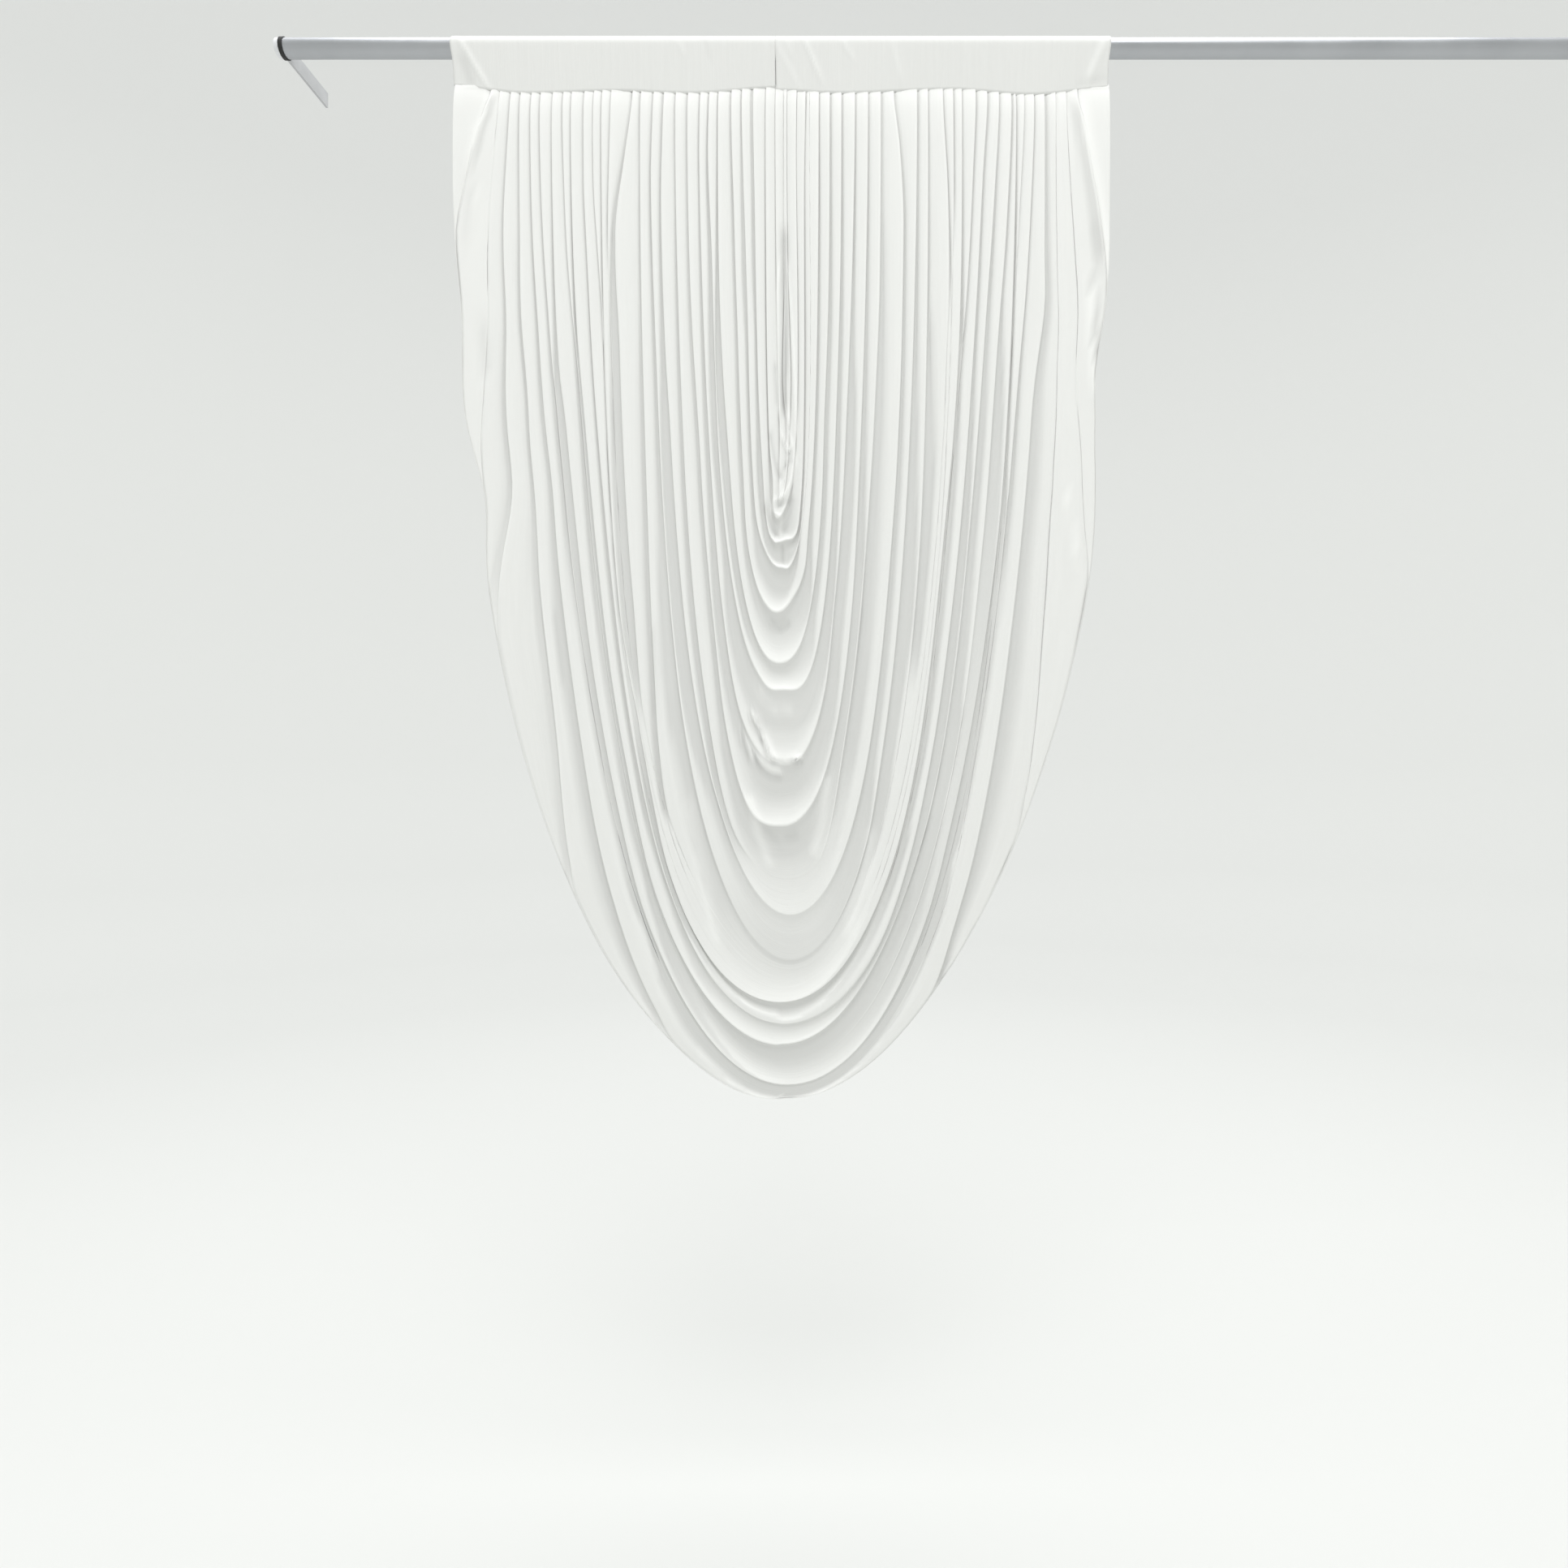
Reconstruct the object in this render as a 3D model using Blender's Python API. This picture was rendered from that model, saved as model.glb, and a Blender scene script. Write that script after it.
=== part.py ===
"""A deep swag drape on its crossbar.

One pleated sheet of cloth hangs in a U from two rod pocket headings, which wrap the crossbar of a
drape stand. Two hook arms carry the bar in front of the stand's upright posts. Metres, +Z up, +X
along the bar, and -Y towards the viewer. The origin is the middle of the left arm's rear face,
where it bears on its post.
"""

import math
from collections import namedtuple

import bmesh
import bpy
from mathutils import Matrix, Vector

MM = 0.001
FIT = 0.3 * MM                      # gap left between pieces that touch

# The bar and what carries it
ROD_LENGTH = 3.0                    # over both end caps
ROD_RADIUS = 19.0 * MM
ROD_SIDES = 48
ARM_REACH = 0.165                   # rear face of the arm to the axis of the bar
ARM_HEIGHT = 32.0 * MM
ARM_THICKNESS = 5.0 * MM
COLLAR_WIDTH = 8.0 * MM
COLLAR_WALL = 1.5 * MM
CAP_LENGTH = 9.5 * MM
CAP_ROUNDING = 1.5 * MM
OVERHANG = 14.0 * MM                # from the middle of an arm to the end of the bar
ARM_SPAN = ROD_LENGTH - 2 * OVERHANG

# The two headings
CLOTH = 1.4 * MM                    # thickness of the swag's sheet
BAND = 1.6 * MM                     # thickness of a heading's sheet
BAND_REST = 0.6 * MM                # from the bar to the inside of a heading
TUCK_GAP = 0.6 * MM                 # from the inside of a heading to the pleated edge behind it
HEADING_LEFT_END = 356.0 * MM
HEADING_SEAM = 1018.0 * MM
HEADING_RIGHT_END = 1704.0 * MM
SEAM_GAP = 1.0 * MM
FRONT_FOOT = -8.0 * MM              # lower edge of a heading's front, from below the bar's axis
BACK_FOOT = 3.5 * MM                # and of its back
BAND_ARC_STEPS = 14
BAND_COLUMNS = 9

# The swag
SWAG_CENTRE = 1032.0 * MM           # the U's centre line along the bar
SEAM_DROP = 100.0 * MM              # from the bar's axis to the line where the pleats start
TUCK = 10.0 * MM                    # how far the pleated edge goes up inside the headings
HEADING_PLEAT = 5.0                 # depth of a pleat at the heading, millimetres
HALF_WIDTH = 674.0                  # centre line to side edge at the heading, millimetres
HEM_DROP = 2067.0                   # seam line to the lowest point of the hem, millimetres
HEM_DRIFT = 3.0
HEM_SWELL_LEFT = 38.0
HEM_SWELL_RIGHT = 68.0
BULGE = 15.0                        # how far the pleats stand out just below the headings
BULGE_START = 12.0                  # below the seam line, clear of the headings' lower edges
BULGE_LENGTH = 22.0
FORWARD_SAG = 24.0                  # how far the lowest folds stand further out than that
FORWARD_SAG_FULL = 1700.0           # below the seam line, where that is reached
DROP_SHARE = 0.24                   # part of a fold's width in which the cloth steps back
RISE_POWER = 1.2                    # how hollow it is where it comes forward again
LEG_STEP_FROM, LEG_STEP_FULL = 0.0, 32.0    # degrees round the U: heading pleat to leg fold
LOW_STEP_FROM, LOW_STEP_FULL = 50.0, 84.0   # and leg fold to the fold at the bottom
SPREAD_FROM, SPREAD_FULL = 35.0, 80.0       # and where a fold spreads over its neighbours
OUTER_VALLEY = 0.12                 # width of the last fold's valley at the heading, out of 1
OUTER_VALLEY_FROM, OUTER_VALLEY_FULL = 20.0, 80.0
RUN_OFF_POWER = 1.6                 # how late an outer pleat bends towards the hem
EDGE_WAVE_END = 4.0                 # the edge's waves die out within a quarter of the width
OUTER_COLUMNS = 10                  # columns of faces between the last full fold and the hem

# Degrees round the U from a heading at which the sheet has a row of points: close together under
# the heading, where the pleats come forward, and even from there on.
LEG_DEGREES = [0.0, 0.3, 1.2, 4.0, 9.0, *range(15, 75, 6), 75, 80, 85]

# One row a fold, from the middle of the swag outwards, in millimetres. left and right are where the
# fold's edge leaves the headings, either side of the centre line. Below that the legs swell out by
# left_swell and right_swell, and drop is how far down the edge's lowest point hangs, drift to the
# right of the centre line. The cloth steps back behind the edge by left_step, low_step and
# right_step, and comes forward again over spread folds at the bottom.
Fold = namedtuple(
    "Fold", "left left_swell drop drift right right_swell left_step low_step right_step spread"
)
FOLDS = [
    Fold(-6, 0, 747, 18, 2, 0, 6, 4, 2, 1),
    Fold(12, 1, 810, 4, 8, 8, 8, 8, 8, 1),
    Fold(34, 6, 880, -9, 22, 36, 8, 12, 8, 1),
    Fold(57, 15, 945, -3, 43, 42, 10, 12, 10, 1),
    Fold(77, 26, 1000, 0, 57, 42, 8, 8, 6, 1),
    Fold(99, 32, 1072, -9, 71, 38, 14, 22, 14, 1),
    Fold(131, 24, 1182, -4, 93, 49, 14, 22, 12, 1),
    Fold(148, 32, 1262, 10, 118, 43, 18, 10, 14, 1),
    Fold(167, 48, 1383, 10, 146, 32, 8, 14, 18, 1),
    Fold(191, 48, 1507, 3, 173, 42, 8, 26, 14, 2),
    Fold(219, 44, 1602, 10, 200, 56, 12, 1, 12, 1),
    Fold(246, 44, 1688, 18, 238, 66, 14, 28, 16, 5),
    Fold(267, 54, 1784, 18, 273, 66, 20, 4, 14, 1),
    Fold(291, 78, 1808, 14, 299, 82, 14, 1, 14, 1),
    Fold(319, 86, 1830, 8, 326, 86, 6, 1, 8, 1),
    Fold(350, 88, 1850, 2, 347, 84, 14, 1, 6, 1),
    Fold(372, 92, 1869, -3, 369, 78, 8, 16, 12, 2),
    Fold(389, 88, 1890, 0, 390, 66, 4, 2, 4, 1),
    Fold(405, 76, 1912, 3, 409, 56, 10, 8, 12, 1),
    Fold(430, 68, 1954, 3, 430, 54, 20, 24, 14, 2),
    Fold(450, 60, 1998, 8, 456, 58, 4, 4, 10, 1),
    Fold(474, 50, 2038, 14, 482, 70, 20, 30, 22, 1),
]

# One row a pleat that runs off the hem: start is its place at the heading, from 0 at the last full
# fold to 1 at the side edge, and it reaches the hem run_off degrees round the U from the heading.
Outer = namedtuple("Outer", "side start run_off step span")
OUTER_PLEATS = [
    Outer("left", 0.17, 74, 10, 0.30),
    Outer("left", 0.30, 54, 8, 0.26),
    Outer("left", 0.42, 40, 6, 0.22),
    Outer("left", 0.53, 30, 6, 0.20),
    Outer("right", 0.25, 70, 12, 0.30),
    Outer("right", 0.38, 44, 8, 0.26),
    Outer("right", 0.52, 30, 8, 0.24),
    Outer("right", 0.66, 13, 14, 0.34),
]

# One row a place where the side edge waves out of its half ellipse, in millimetres: how far down it
# is, how far the wave reaches up and down from there, and how far it moves the edge outwards.
Wave = namedtuple("Wave", "side down reach shift")
EDGE_WAVES = [
    Wave("left", 470, 110, -12),
    Wave("left", 830, 110, -27),
    Wave("left", 1990, 130, -10),
    Wave("right", 600, 130, -24),
    Wave("right", 1820, 250, -8),
]

# One row a place where a heading's lower edge dips: distance along the bar from the swag's centre
# line, and the drop from the bar's axis, in millimetres.
Dip = namedtuple("Dip", "x drop")
LEFT_DIPS = [Dip(-680, 88), Dip(-530, 104), Dip(-345, 98), Dip(-180, 105), Dip(0, 92)]
RIGHT_DIPS = [Dip(-14, 98), Dip(120, 104), Dip(355, 95), Dip(520, 107), Dip(680, 92)]


def clear_scene():
    for thing in list(bpy.data.objects):
        bpy.data.objects.remove(thing, do_unlink=True)


def smooth(value):
    """An S-shaped step from 0 to 1."""
    value = min(max(value, 0.0), 1.0)
    return value * value * (3.0 - 2.0 * value)


def finish(name, colour, roughness, metallic=0.0):
    """A plain material for one object."""
    material = bpy.data.materials.new(name)
    material.use_nodes = True
    shader = material.node_tree.nodes["Principled BSDF"]
    shader.inputs["Base Color"].default_value = (*colour, 1.0)
    shader.inputs["Roughness"].default_value = roughness
    shader.inputs["Metallic"].default_value = metallic
    return material


def add_object(name, mesh_builder, material, smooth_angle=None):
    """Turn a bmesh into a named object with its material."""
    mesh = bpy.data.meshes.new(name)
    mesh_builder.to_mesh(mesh)
    mesh_builder.free()
    mesh.materials.append(material)
    if smooth_angle is not None:
        mesh.shade_smooth()
        mesh.set_sharp_from_angle(angle=smooth_angle)
    thing = bpy.data.objects.new(name, mesh)
    bpy.context.scene.collection.objects.link(thing)
    return thing


# ---------------------------------------------------------------- swag

def leg_point(half, swell, drop, drift, side, angle):
    """A point of a U's leg, in millimetres from the centre line and below the seam line."""
    down = math.sin(angle)
    out = (half + swell * down * down) * math.cos(angle)
    return side * out + drift * down ** 3, drop * down


def fold_point(fold, angle, side):
    if side < 0:
        return leg_point(fold.left, fold.left_swell, fold.drop, fold.drift, -1, angle)
    return leg_point(fold.right, fold.right_swell, fold.drop, fold.drift, 1, angle)


def hem_point(angle, side):
    """The hem's outline: a half ellipse with swelling legs and the waves of its edge."""
    swell = HEM_SWELL_LEFT if side < 0 else HEM_SWELL_RIGHT
    down = math.sin(angle)
    half = HALF_WIDTH + swell * 4.0 * down * down * (1.0 - down * down)
    out = half * math.cos(angle)
    for wave in EDGE_WAVES:
        if (side < 0) == (wave.side == "left"):
            apart = (HEM_DROP * down - wave.down) / wave.reach
            fade = smooth(EDGE_WAVE_END * math.cos(angle))
            out += wave.shift * math.exp(-apart * apart) * fade
    return side * out + HEM_DRIFT * down ** 3, HEM_DROP * down


def between(angle, start, full):
    """From 0 at start degrees round the U to 1 at full degrees."""
    return smooth((math.degrees(angle) - start) / (full - start))


def fold_step(fold, angle, side):
    """How deep the cloth steps back behind a fold's edge, at this place round the U."""
    leg = fold.left_step if side < 0 else fold.right_step
    into_leg = between(angle, LEG_STEP_FROM, LEG_STEP_FULL)
    into_low = between(angle, LOW_STEP_FROM, LOW_STEP_FULL)
    upper = HEADING_PLEAT + (leg - HEADING_PLEAT) * into_leg
    return upper + (fold.low_step - upper) * into_low


def fold_spread(fold, angle):
    return 1.0 + (fold.spread - 1.0) * between(angle, SPREAD_FROM, SPREAD_FULL)


def tooth(along, length):
    """Depth behind an edge: 0 on it, 1 just past it, and back to 0 after length."""
    if along <= 0.0 or along >= length:
        return 0.0
    if along < DROP_SHARE:
        return smooth(along / DROP_SHARE)
    return (1.0 - (along - DROP_SHARE) / (length - DROP_SHARE)) ** RISE_POWER


def full_fold_depth(place, angle, side):
    """Depth behind the front of the swag at a place counted in folds from the middle."""
    depth = 0.0
    for index, fold in enumerate(FOLDS):
        depth += fold_step(fold, angle, side) * tooth(place - index, fold_spread(fold, angle))
    return depth


def outer_depth(share, angle, side):
    """Depth between the last full fold, share 0, and the hem, share 1."""
    last = fold_step(FOLDS[-1], angle, side)
    widening = between(angle, OUTER_VALLEY_FROM, OUTER_VALLEY_FULL)
    reach = OUTER_VALLEY + (1.0 - OUTER_VALLEY) * widening
    depth = last * tooth(share / reach, 1.0)
    for pleat in OUTER_PLEATS:
        if (side < 0) != (pleat.side == "left"):
            continue
        round_u = math.degrees(angle) / pleat.run_off
        if round_u >= 1.0:
            continue
        edge = pleat.start + (1.0 - pleat.start) * round_u ** RUN_OFF_POWER
        growth = HEADING_PLEAT + (pleat.step - HEADING_PLEAT) * smooth(round_u * 2.0)
        depth += growth * (1.0 - smooth(round_u)) * tooth((share - edge) / pleat.span, 1.0)
    return depth


def swag_point(place, angle, side):
    """The sheet at a place counted in folds from the middle, as (x, y, z) in metres."""
    last = len(FOLDS) - 1
    if place <= last:
        index = min(int(place), last - 1)
        share = place - index
        inner = fold_point(FOLDS[index], angle, side)
        outer = fold_point(FOLDS[index + 1], angle, side)
        depth = full_fold_depth(place, angle, side)
    else:
        share = place - last
        inner = fold_point(FOLDS[last], angle, side)
        outer = hem_point(angle, side)
        depth = outer_depth(share, angle, side)
    out = inner[0] + (outer[0] - inner[0]) * share
    down = inner[1] + (outer[1] - inner[1]) * share
    below = max(down - BULGE_START, 0.0)
    front = BULGE * (1.0 - math.exp(-below / BULGE_LENGTH))
    front += FORWARD_SAG * smooth(down / FORWARD_SAG_FULL)
    pleated_edge = -ARM_REACH + FRONT_FOOT + BAND / 2 + TUCK_GAP + CLOTH / 2
    return Vector((
        SWAG_CENTRE + out * MM,
        pleated_edge + (depth - front) * MM,
        -SEAM_DROP - down * MM,
    ))


def make_swag():
    """The pleated sheet, hem included, as one closed thin solid."""
    places = []
    for index in range(len(FOLDS) - 1):
        places += [index, index + DROP_SHARE]
    last = len(FOLDS) - 1
    places += [last + column / OUTER_COLUMNS for column in range(OUTER_COLUMNS + 1)]
    stations = [("tuck", -1, 0.0)]
    stations += [("leg", -1, math.radians(angle)) for angle in LEG_DEGREES]
    stations += [("low", 1, math.pi / 2)]
    stations += [("leg", 1, math.radians(angle)) for angle in reversed(LEG_DEGREES)]
    stations += [("tuck", 1, 0.0)]

    sheet = bmesh.new()
    bmesh.ops.create_grid(
        sheet, x_segments=len(places) - 1, y_segments=len(stations) - 1, size=0.5
    )
    for vertex in sheet.verts:
        column = round((vertex.co.x + 0.5) * (len(places) - 1))
        row = round((vertex.co.y + 0.5) * (len(stations) - 1))
        kind, side, angle = stations[row]
        point = swag_point(places[column], angle, side)
        if kind == "tuck":
            point.z += TUCK
        vertex.co = point
    bmesh.ops.recalc_face_normals(sheet, faces=sheet.faces)
    cloth = finish("white_knit_cloth", (0.88, 0.88, 0.88), 0.75)
    swag = add_object("swag", sheet, cloth, smooth_angle=math.radians(40))
    shell = swag.modifiers.new("thickness", "SOLIDIFY")
    shell.thickness = CLOTH
    shell.offset = 0.0
    return swag


# ---------------------------------------------------------------- headings

def dip_at(dips, x):
    """Drop of a heading's lower edge, smoothly through its dips."""
    for left, right in zip(dips, dips[1:]):
        if x <= right.x:
            share = smooth((x - left.x) / (right.x - left.x))
            return left.drop + (right.drop - left.drop) * share
    return dips[-1].drop


def halfway(first, second):
    return (first[0] + second[0]) / 2, (first[1] + second[1]) / 2


def tangent_turn(foot, drop, radius):
    """Turn round the bar, from its middle height, at which a straight run to the foot leaves it."""
    return math.pi + math.atan2(drop, foot) - math.acos(radius / math.hypot(foot, drop))


def heading_section(drop):
    """Middle line of a heading's section, from its front lower edge over the bar to the back.

    Its weight pulls both lower edges in below the bar, so front and back run straight from where
    they touch the bar to just either side of the pleated edge.
    """
    radius = ROD_RADIUS + BAND_REST + BAND / 2
    start = math.pi - tangent_turn(-FRONT_FOOT, drop, radius)
    end = tangent_turn(BACK_FOOT, drop, radius)
    arc = []
    for step in range(BAND_ARC_STEPS + 1):
        turn = start + (end - start) * step / BAND_ARC_STEPS
        arc.append((-radius * math.cos(turn), radius * math.sin(turn)))
    front = (FRONT_FOOT, -drop)
    back = (BACK_FOOT, -drop)
    return [front, halfway(front, arc[0]), *arc, halfway(arc[-1], back), back]


def make_heading(name, left, right, dips, material):
    """A rod pocket band: cloth folded over the bar, down in front and up again behind."""
    count = len(heading_section(SEAM_DROP))
    sheet = bmesh.new()
    bmesh.ops.create_grid(sheet, x_segments=BAND_COLUMNS, y_segments=count - 1, size=0.5)
    for vertex in sheet.verts:
        share = vertex.co.x + 0.5
        row = round((vertex.co.y + 0.5) * (count - 1))
        x = left + (right - left) * share
        drop = dip_at(dips, (x - SWAG_CENTRE) / MM) * MM
        y, z = heading_section(drop)[row]
        vertex.co = (x, y - ARM_REACH, z)
    bmesh.ops.recalc_face_normals(sheet, faces=sheet.faces)
    band = add_object(name, sheet, material, smooth_angle=math.radians(40))
    shell = band.modifiers.new("thickness", "SOLIDIFY")
    shell.thickness = BAND
    shell.offset = 0.0
    return band


# ---------------------------------------------------------------- bar, caps, collars, arms

def along_bar(x_from, x_to, radius, sides=ROD_SIDES):
    """A round bar between two places along X, on the bar's axis."""
    shape = bmesh.new()
    place = Matrix.Translation(((x_from + x_to) / 2, -ARM_REACH, 0.0))
    turn = Matrix.Rotation(math.pi / 2, 4, "Y")
    bmesh.ops.create_cone(
        shape, cap_ends=True, segments=sides, radius1=radius, radius2=radius,
        depth=x_to - x_from, matrix=place @ turn,
    )
    return shape


def make_rod():
    inset = CAP_LENGTH + FIT
    shape = along_bar(-OVERHANG + inset, ARM_SPAN + OVERHANG - inset, ROD_RADIUS)
    metal = finish("satin_aluminium", (0.62, 0.62, 0.63), 0.35, metallic=1.0)
    return add_object("rod", shape, metal, smooth_angle=math.radians(40))


def make_end_cap(name, x_from, x_to, rounded_x):
    shape = along_bar(x_from, x_to, ROD_RADIUS)
    rim = [
        edge for edge in shape.edges
        if all(abs(vertex.co.x - rounded_x) < 1e-6 for vertex in edge.verts)
    ]
    bmesh.ops.bevel(
        shape, geom=rim, offset=CAP_ROUNDING, offset_type="OFFSET", segments=3, profile=0.5,
        affect="EDGES", material=-1, clamp_overlap=True,
    )
    plastic = finish(name + "_plastic", (0.75, 0.75, 0.75), 0.5)
    return add_object(name, shape, plastic, smooth_angle=math.radians(40))


def make_collar(name, x):
    """A ring round the bar: a square section spun about the bar's axis."""
    inner = ROD_RADIUS + FIT
    outer = inner + COLLAR_WALL
    half = COLLAR_WIDTH / 2
    shape = bmesh.new()
    corners = [(-half, inner), (half, inner), (half, outer), (-half, outer)]
    ring = [shape.verts.new((x + dx, -ARM_REACH, radius)) for dx, radius in corners]
    edges = [shape.edges.new((ring[i], ring[(i + 1) % 4])) for i in range(4)]
    bmesh.ops.spin(
        shape, geom=ring + edges, cent=(x, -ARM_REACH, 0.0), axis=(1.0, 0.0, 0.0),
        angle=math.tau, steps=ROD_SIDES, use_merge=True,
    )
    bmesh.ops.recalc_face_normals(shape, faces=shape.faces)
    rubber = finish(name + "_rubber", (0.02, 0.02, 0.02), 0.6)
    return add_object(name, shape, rubber, smooth_angle=math.radians(40))


def make_hook_arm(name, x):
    """A flat bar on edge, its front end hollowed to seat on the collar."""
    shape = bmesh.new()
    bmesh.ops.create_cube(shape, size=1.0)
    depth = ARM_REACH
    bmesh.ops.scale(shape, vec=(ARM_THICKNESS, depth, ARM_HEIGHT), verts=shape.verts)
    bmesh.ops.translate(shape, vec=(x, -depth / 2, 0.0), verts=shape.verts)
    metal = finish(name + "_metal", (0.55, 0.55, 0.56), 0.45, metallic=1.0)
    arm = add_object(name, shape, metal)
    seat = ROD_RADIUS + FIT + COLLAR_WALL + FIT
    tool = along_bar(x - ARM_THICKNESS, x + ARM_THICKNESS, seat)
    cutter = add_object(name + "_cutter", tool, metal)
    cutter.hide_render = True
    cutter.display_type = "WIRE"
    cut = arm.modifiers.new("seat", "BOOLEAN")
    cut.operation = "DIFFERENCE"
    cut.object = cutter
    return arm


clear_scene()
make_swag()
band_cloth = finish("white_band_cloth", (0.86, 0.86, 0.86), 0.7)
make_heading("heading_left", HEADING_LEFT_END, HEADING_SEAM - SEAM_GAP / 2, LEFT_DIPS, band_cloth)
make_heading("heading_right", HEADING_SEAM + SEAM_GAP / 2, HEADING_RIGHT_END, RIGHT_DIPS, band_cloth)
make_rod()
make_end_cap("end_cap_left", -OVERHANG, -OVERHANG + CAP_LENGTH, -OVERHANG)
make_end_cap(
    "end_cap_right", ARM_SPAN + OVERHANG - CAP_LENGTH, ARM_SPAN + OVERHANG, ARM_SPAN + OVERHANG
)
make_collar("collar_left", 0.0)
make_collar("collar_right", ARM_SPAN)
make_hook_arm("hook_arm_left", 0.0)
make_hook_arm("hook_arm_right", ARM_SPAN)
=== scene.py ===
"""A deep swag drape on the crossbar of a drape stand.

Metres, +Z up, +X along the bar, -Y towards the viewer. The origin is the middle of the left hook
arm's rear face.
"""

import math
from collections import namedtuple

import bmesh
import bpy
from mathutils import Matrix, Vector


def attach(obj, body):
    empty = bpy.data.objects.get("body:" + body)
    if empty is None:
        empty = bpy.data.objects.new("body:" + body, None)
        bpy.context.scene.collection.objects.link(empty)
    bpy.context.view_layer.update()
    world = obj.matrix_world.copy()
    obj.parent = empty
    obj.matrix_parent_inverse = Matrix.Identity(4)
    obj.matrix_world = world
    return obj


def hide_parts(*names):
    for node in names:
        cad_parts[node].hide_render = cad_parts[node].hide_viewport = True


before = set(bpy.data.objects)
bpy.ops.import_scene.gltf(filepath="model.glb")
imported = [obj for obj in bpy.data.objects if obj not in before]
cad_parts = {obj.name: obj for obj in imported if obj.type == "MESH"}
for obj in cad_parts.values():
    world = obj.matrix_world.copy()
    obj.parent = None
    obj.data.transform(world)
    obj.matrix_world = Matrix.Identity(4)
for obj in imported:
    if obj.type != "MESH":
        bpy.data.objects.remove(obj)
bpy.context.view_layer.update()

# ---------------------------------------------------------------- crossbar
# A drawn aluminium tube, 38 mm across, which drops into the two hook arms at its ends. Satin
# anodised: a soft highlight along its top and a faint lengthwise grain left by the drawing die.

MM = 0.001
ARM_REACH = 165.0 * MM  # rear face of an arm to the bar's axis
ROD_RADIUS = 19.0 * MM
DIE_LINE = 1.6 * MM  # spacing of the drawing lines round the tube
DIE_LINE_LENGTH = 400.0 * MM
HANDLED_PATCHES = 9.0  # to a metre, where hands have dulled it


def linear(hex_colour):
    """An sRGB hex colour as the linear RGBA that a shader takes."""
    channels = [int(hex_colour[start:start + 2], 16) / 255.0 for start in (1, 3, 5)]
    return (*[c / 12.92 if c <= 0.04045 else ((c + 0.055) / 1.055) ** 2.4 for c in channels], 1.0)


def new_material(name, colour, roughness, **settings):
    """A Principled material with its constant values set on the shader's own sockets."""
    material = bpy.data.materials.new(name)
    material.use_nodes = True
    shader = material.node_tree.nodes["Principled BSDF"]
    shader.inputs["Base Color"].default_value = linear(colour)
    shader.inputs["Roughness"].default_value = roughness
    for socket, value in settings.items():
        shader.inputs[socket.replace("_", " ")].default_value = value
    return material, material.node_tree, shader


def link(tree, node, sources):
    """Link each source to the node's socket of that name, by its first output if it is a node."""
    for name, source in sources.items():
        output = source.outputs[0] if isinstance(source, bpy.types.Node) else source
        tree.links.new(output, node.inputs[name])


def add_node(tree, kind, settings=None, sources=None):
    """Add a node, set its properties or sockets by name, and link its sockets."""
    node = tree.nodes.new("ShaderNode" + kind)
    for name, value in (settings or {}).items():
        if name in node.inputs:
            node.inputs[name].default_value = value
        else:
            setattr(node, name, value)
    link(tree, node, sources or {})
    return node


def dress(node, material):
    """Give a CAD node its finish."""
    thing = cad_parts[node]
    thing.data.materials.clear()
    thing.data.materials.append(material)


satin_aluminium, tree, shader = new_material("satin_anodised_aluminium", "#B4B6B9", 0.34, Metallic=1.0)
place = add_node(tree, "TexCoord").outputs["Object"]
stretch = add_node(
    tree, "Mapping", {"Scale": (1.0 / DIE_LINE_LENGTH, 1.0 / DIE_LINE, 1.0 / DIE_LINE)}, {"Vector": place}
)
grain = add_node(tree, "TexNoise", {"Scale": 1.0, "Detail": 3.0, "Roughness": 0.6}, {"Vector": stretch})
handled = add_node(tree, "TexNoise", {"Scale": HANDLED_PATCHES, "Detail": 4.0}, {"Vector": place})
grey = add_node(tree, "ValToRGB", sources={"Fac": handled})
grey.color_ramp.elements[0].color = linear("#A6A8AC")
grey.color_ramp.elements[1].color = linear("#C0C2C5")
dull = add_node(
    tree, "MapRange", {"From Min": 0.3, "From Max": 0.7, "To Min": 0.32, "To Max": 0.46},
    {"Value": handled},
)
bump = add_node(tree, "Bump", {"Strength": 0.12, "Distance": 0.2 * MM}, {"Height": grain})
link(tree, shader, {"Base Color": grey, "Roughness": dull, "Normal": bump})
dress("rod", satin_aluminium)

# ---------------------------------------------------------------- end caps
# Pale grey plastic plugs, injection moulded, pressed into the ends of the tube. Satin, with the
# fine sparkle of a spark-eroded mould.

MOULD_GRAIN = 0.8 * MM

cap_plastic, tree, shader = new_material("moulded_grey_plastic", "#E2E3E5", 0.42)
place = add_node(tree, "TexCoord").outputs["Object"]
grit = add_node(tree, "TexNoise", {"Scale": 1.0 / MOULD_GRAIN, "Detail": 2.0}, {"Vector": place})
tone = add_node(tree, "ValToRGB", sources={"Fac": grit})
tone.color_ramp.elements[0].color = linear("#DADBDE")
tone.color_ramp.elements[1].color = linear("#EAEBED")
bump = add_node(tree, "Bump", {"Strength": 0.15, "Distance": 0.1 * MM}, {"Height": grit})
link(tree, shader, {"Base Color": tone, "Normal": bump})
for side in ("left", "right"):
    dress("end_cap_" + side, cap_plastic)

# ---------------------------------------------------------------- collars
# Black rubber rings round the tube, which the hook arms grip so that the bar neither slides nor
# rattles. Dull, with dust greying their moulded skin.

DUST_SPOTS = 260.0  # to a metre, so about 4 mm across

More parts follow.
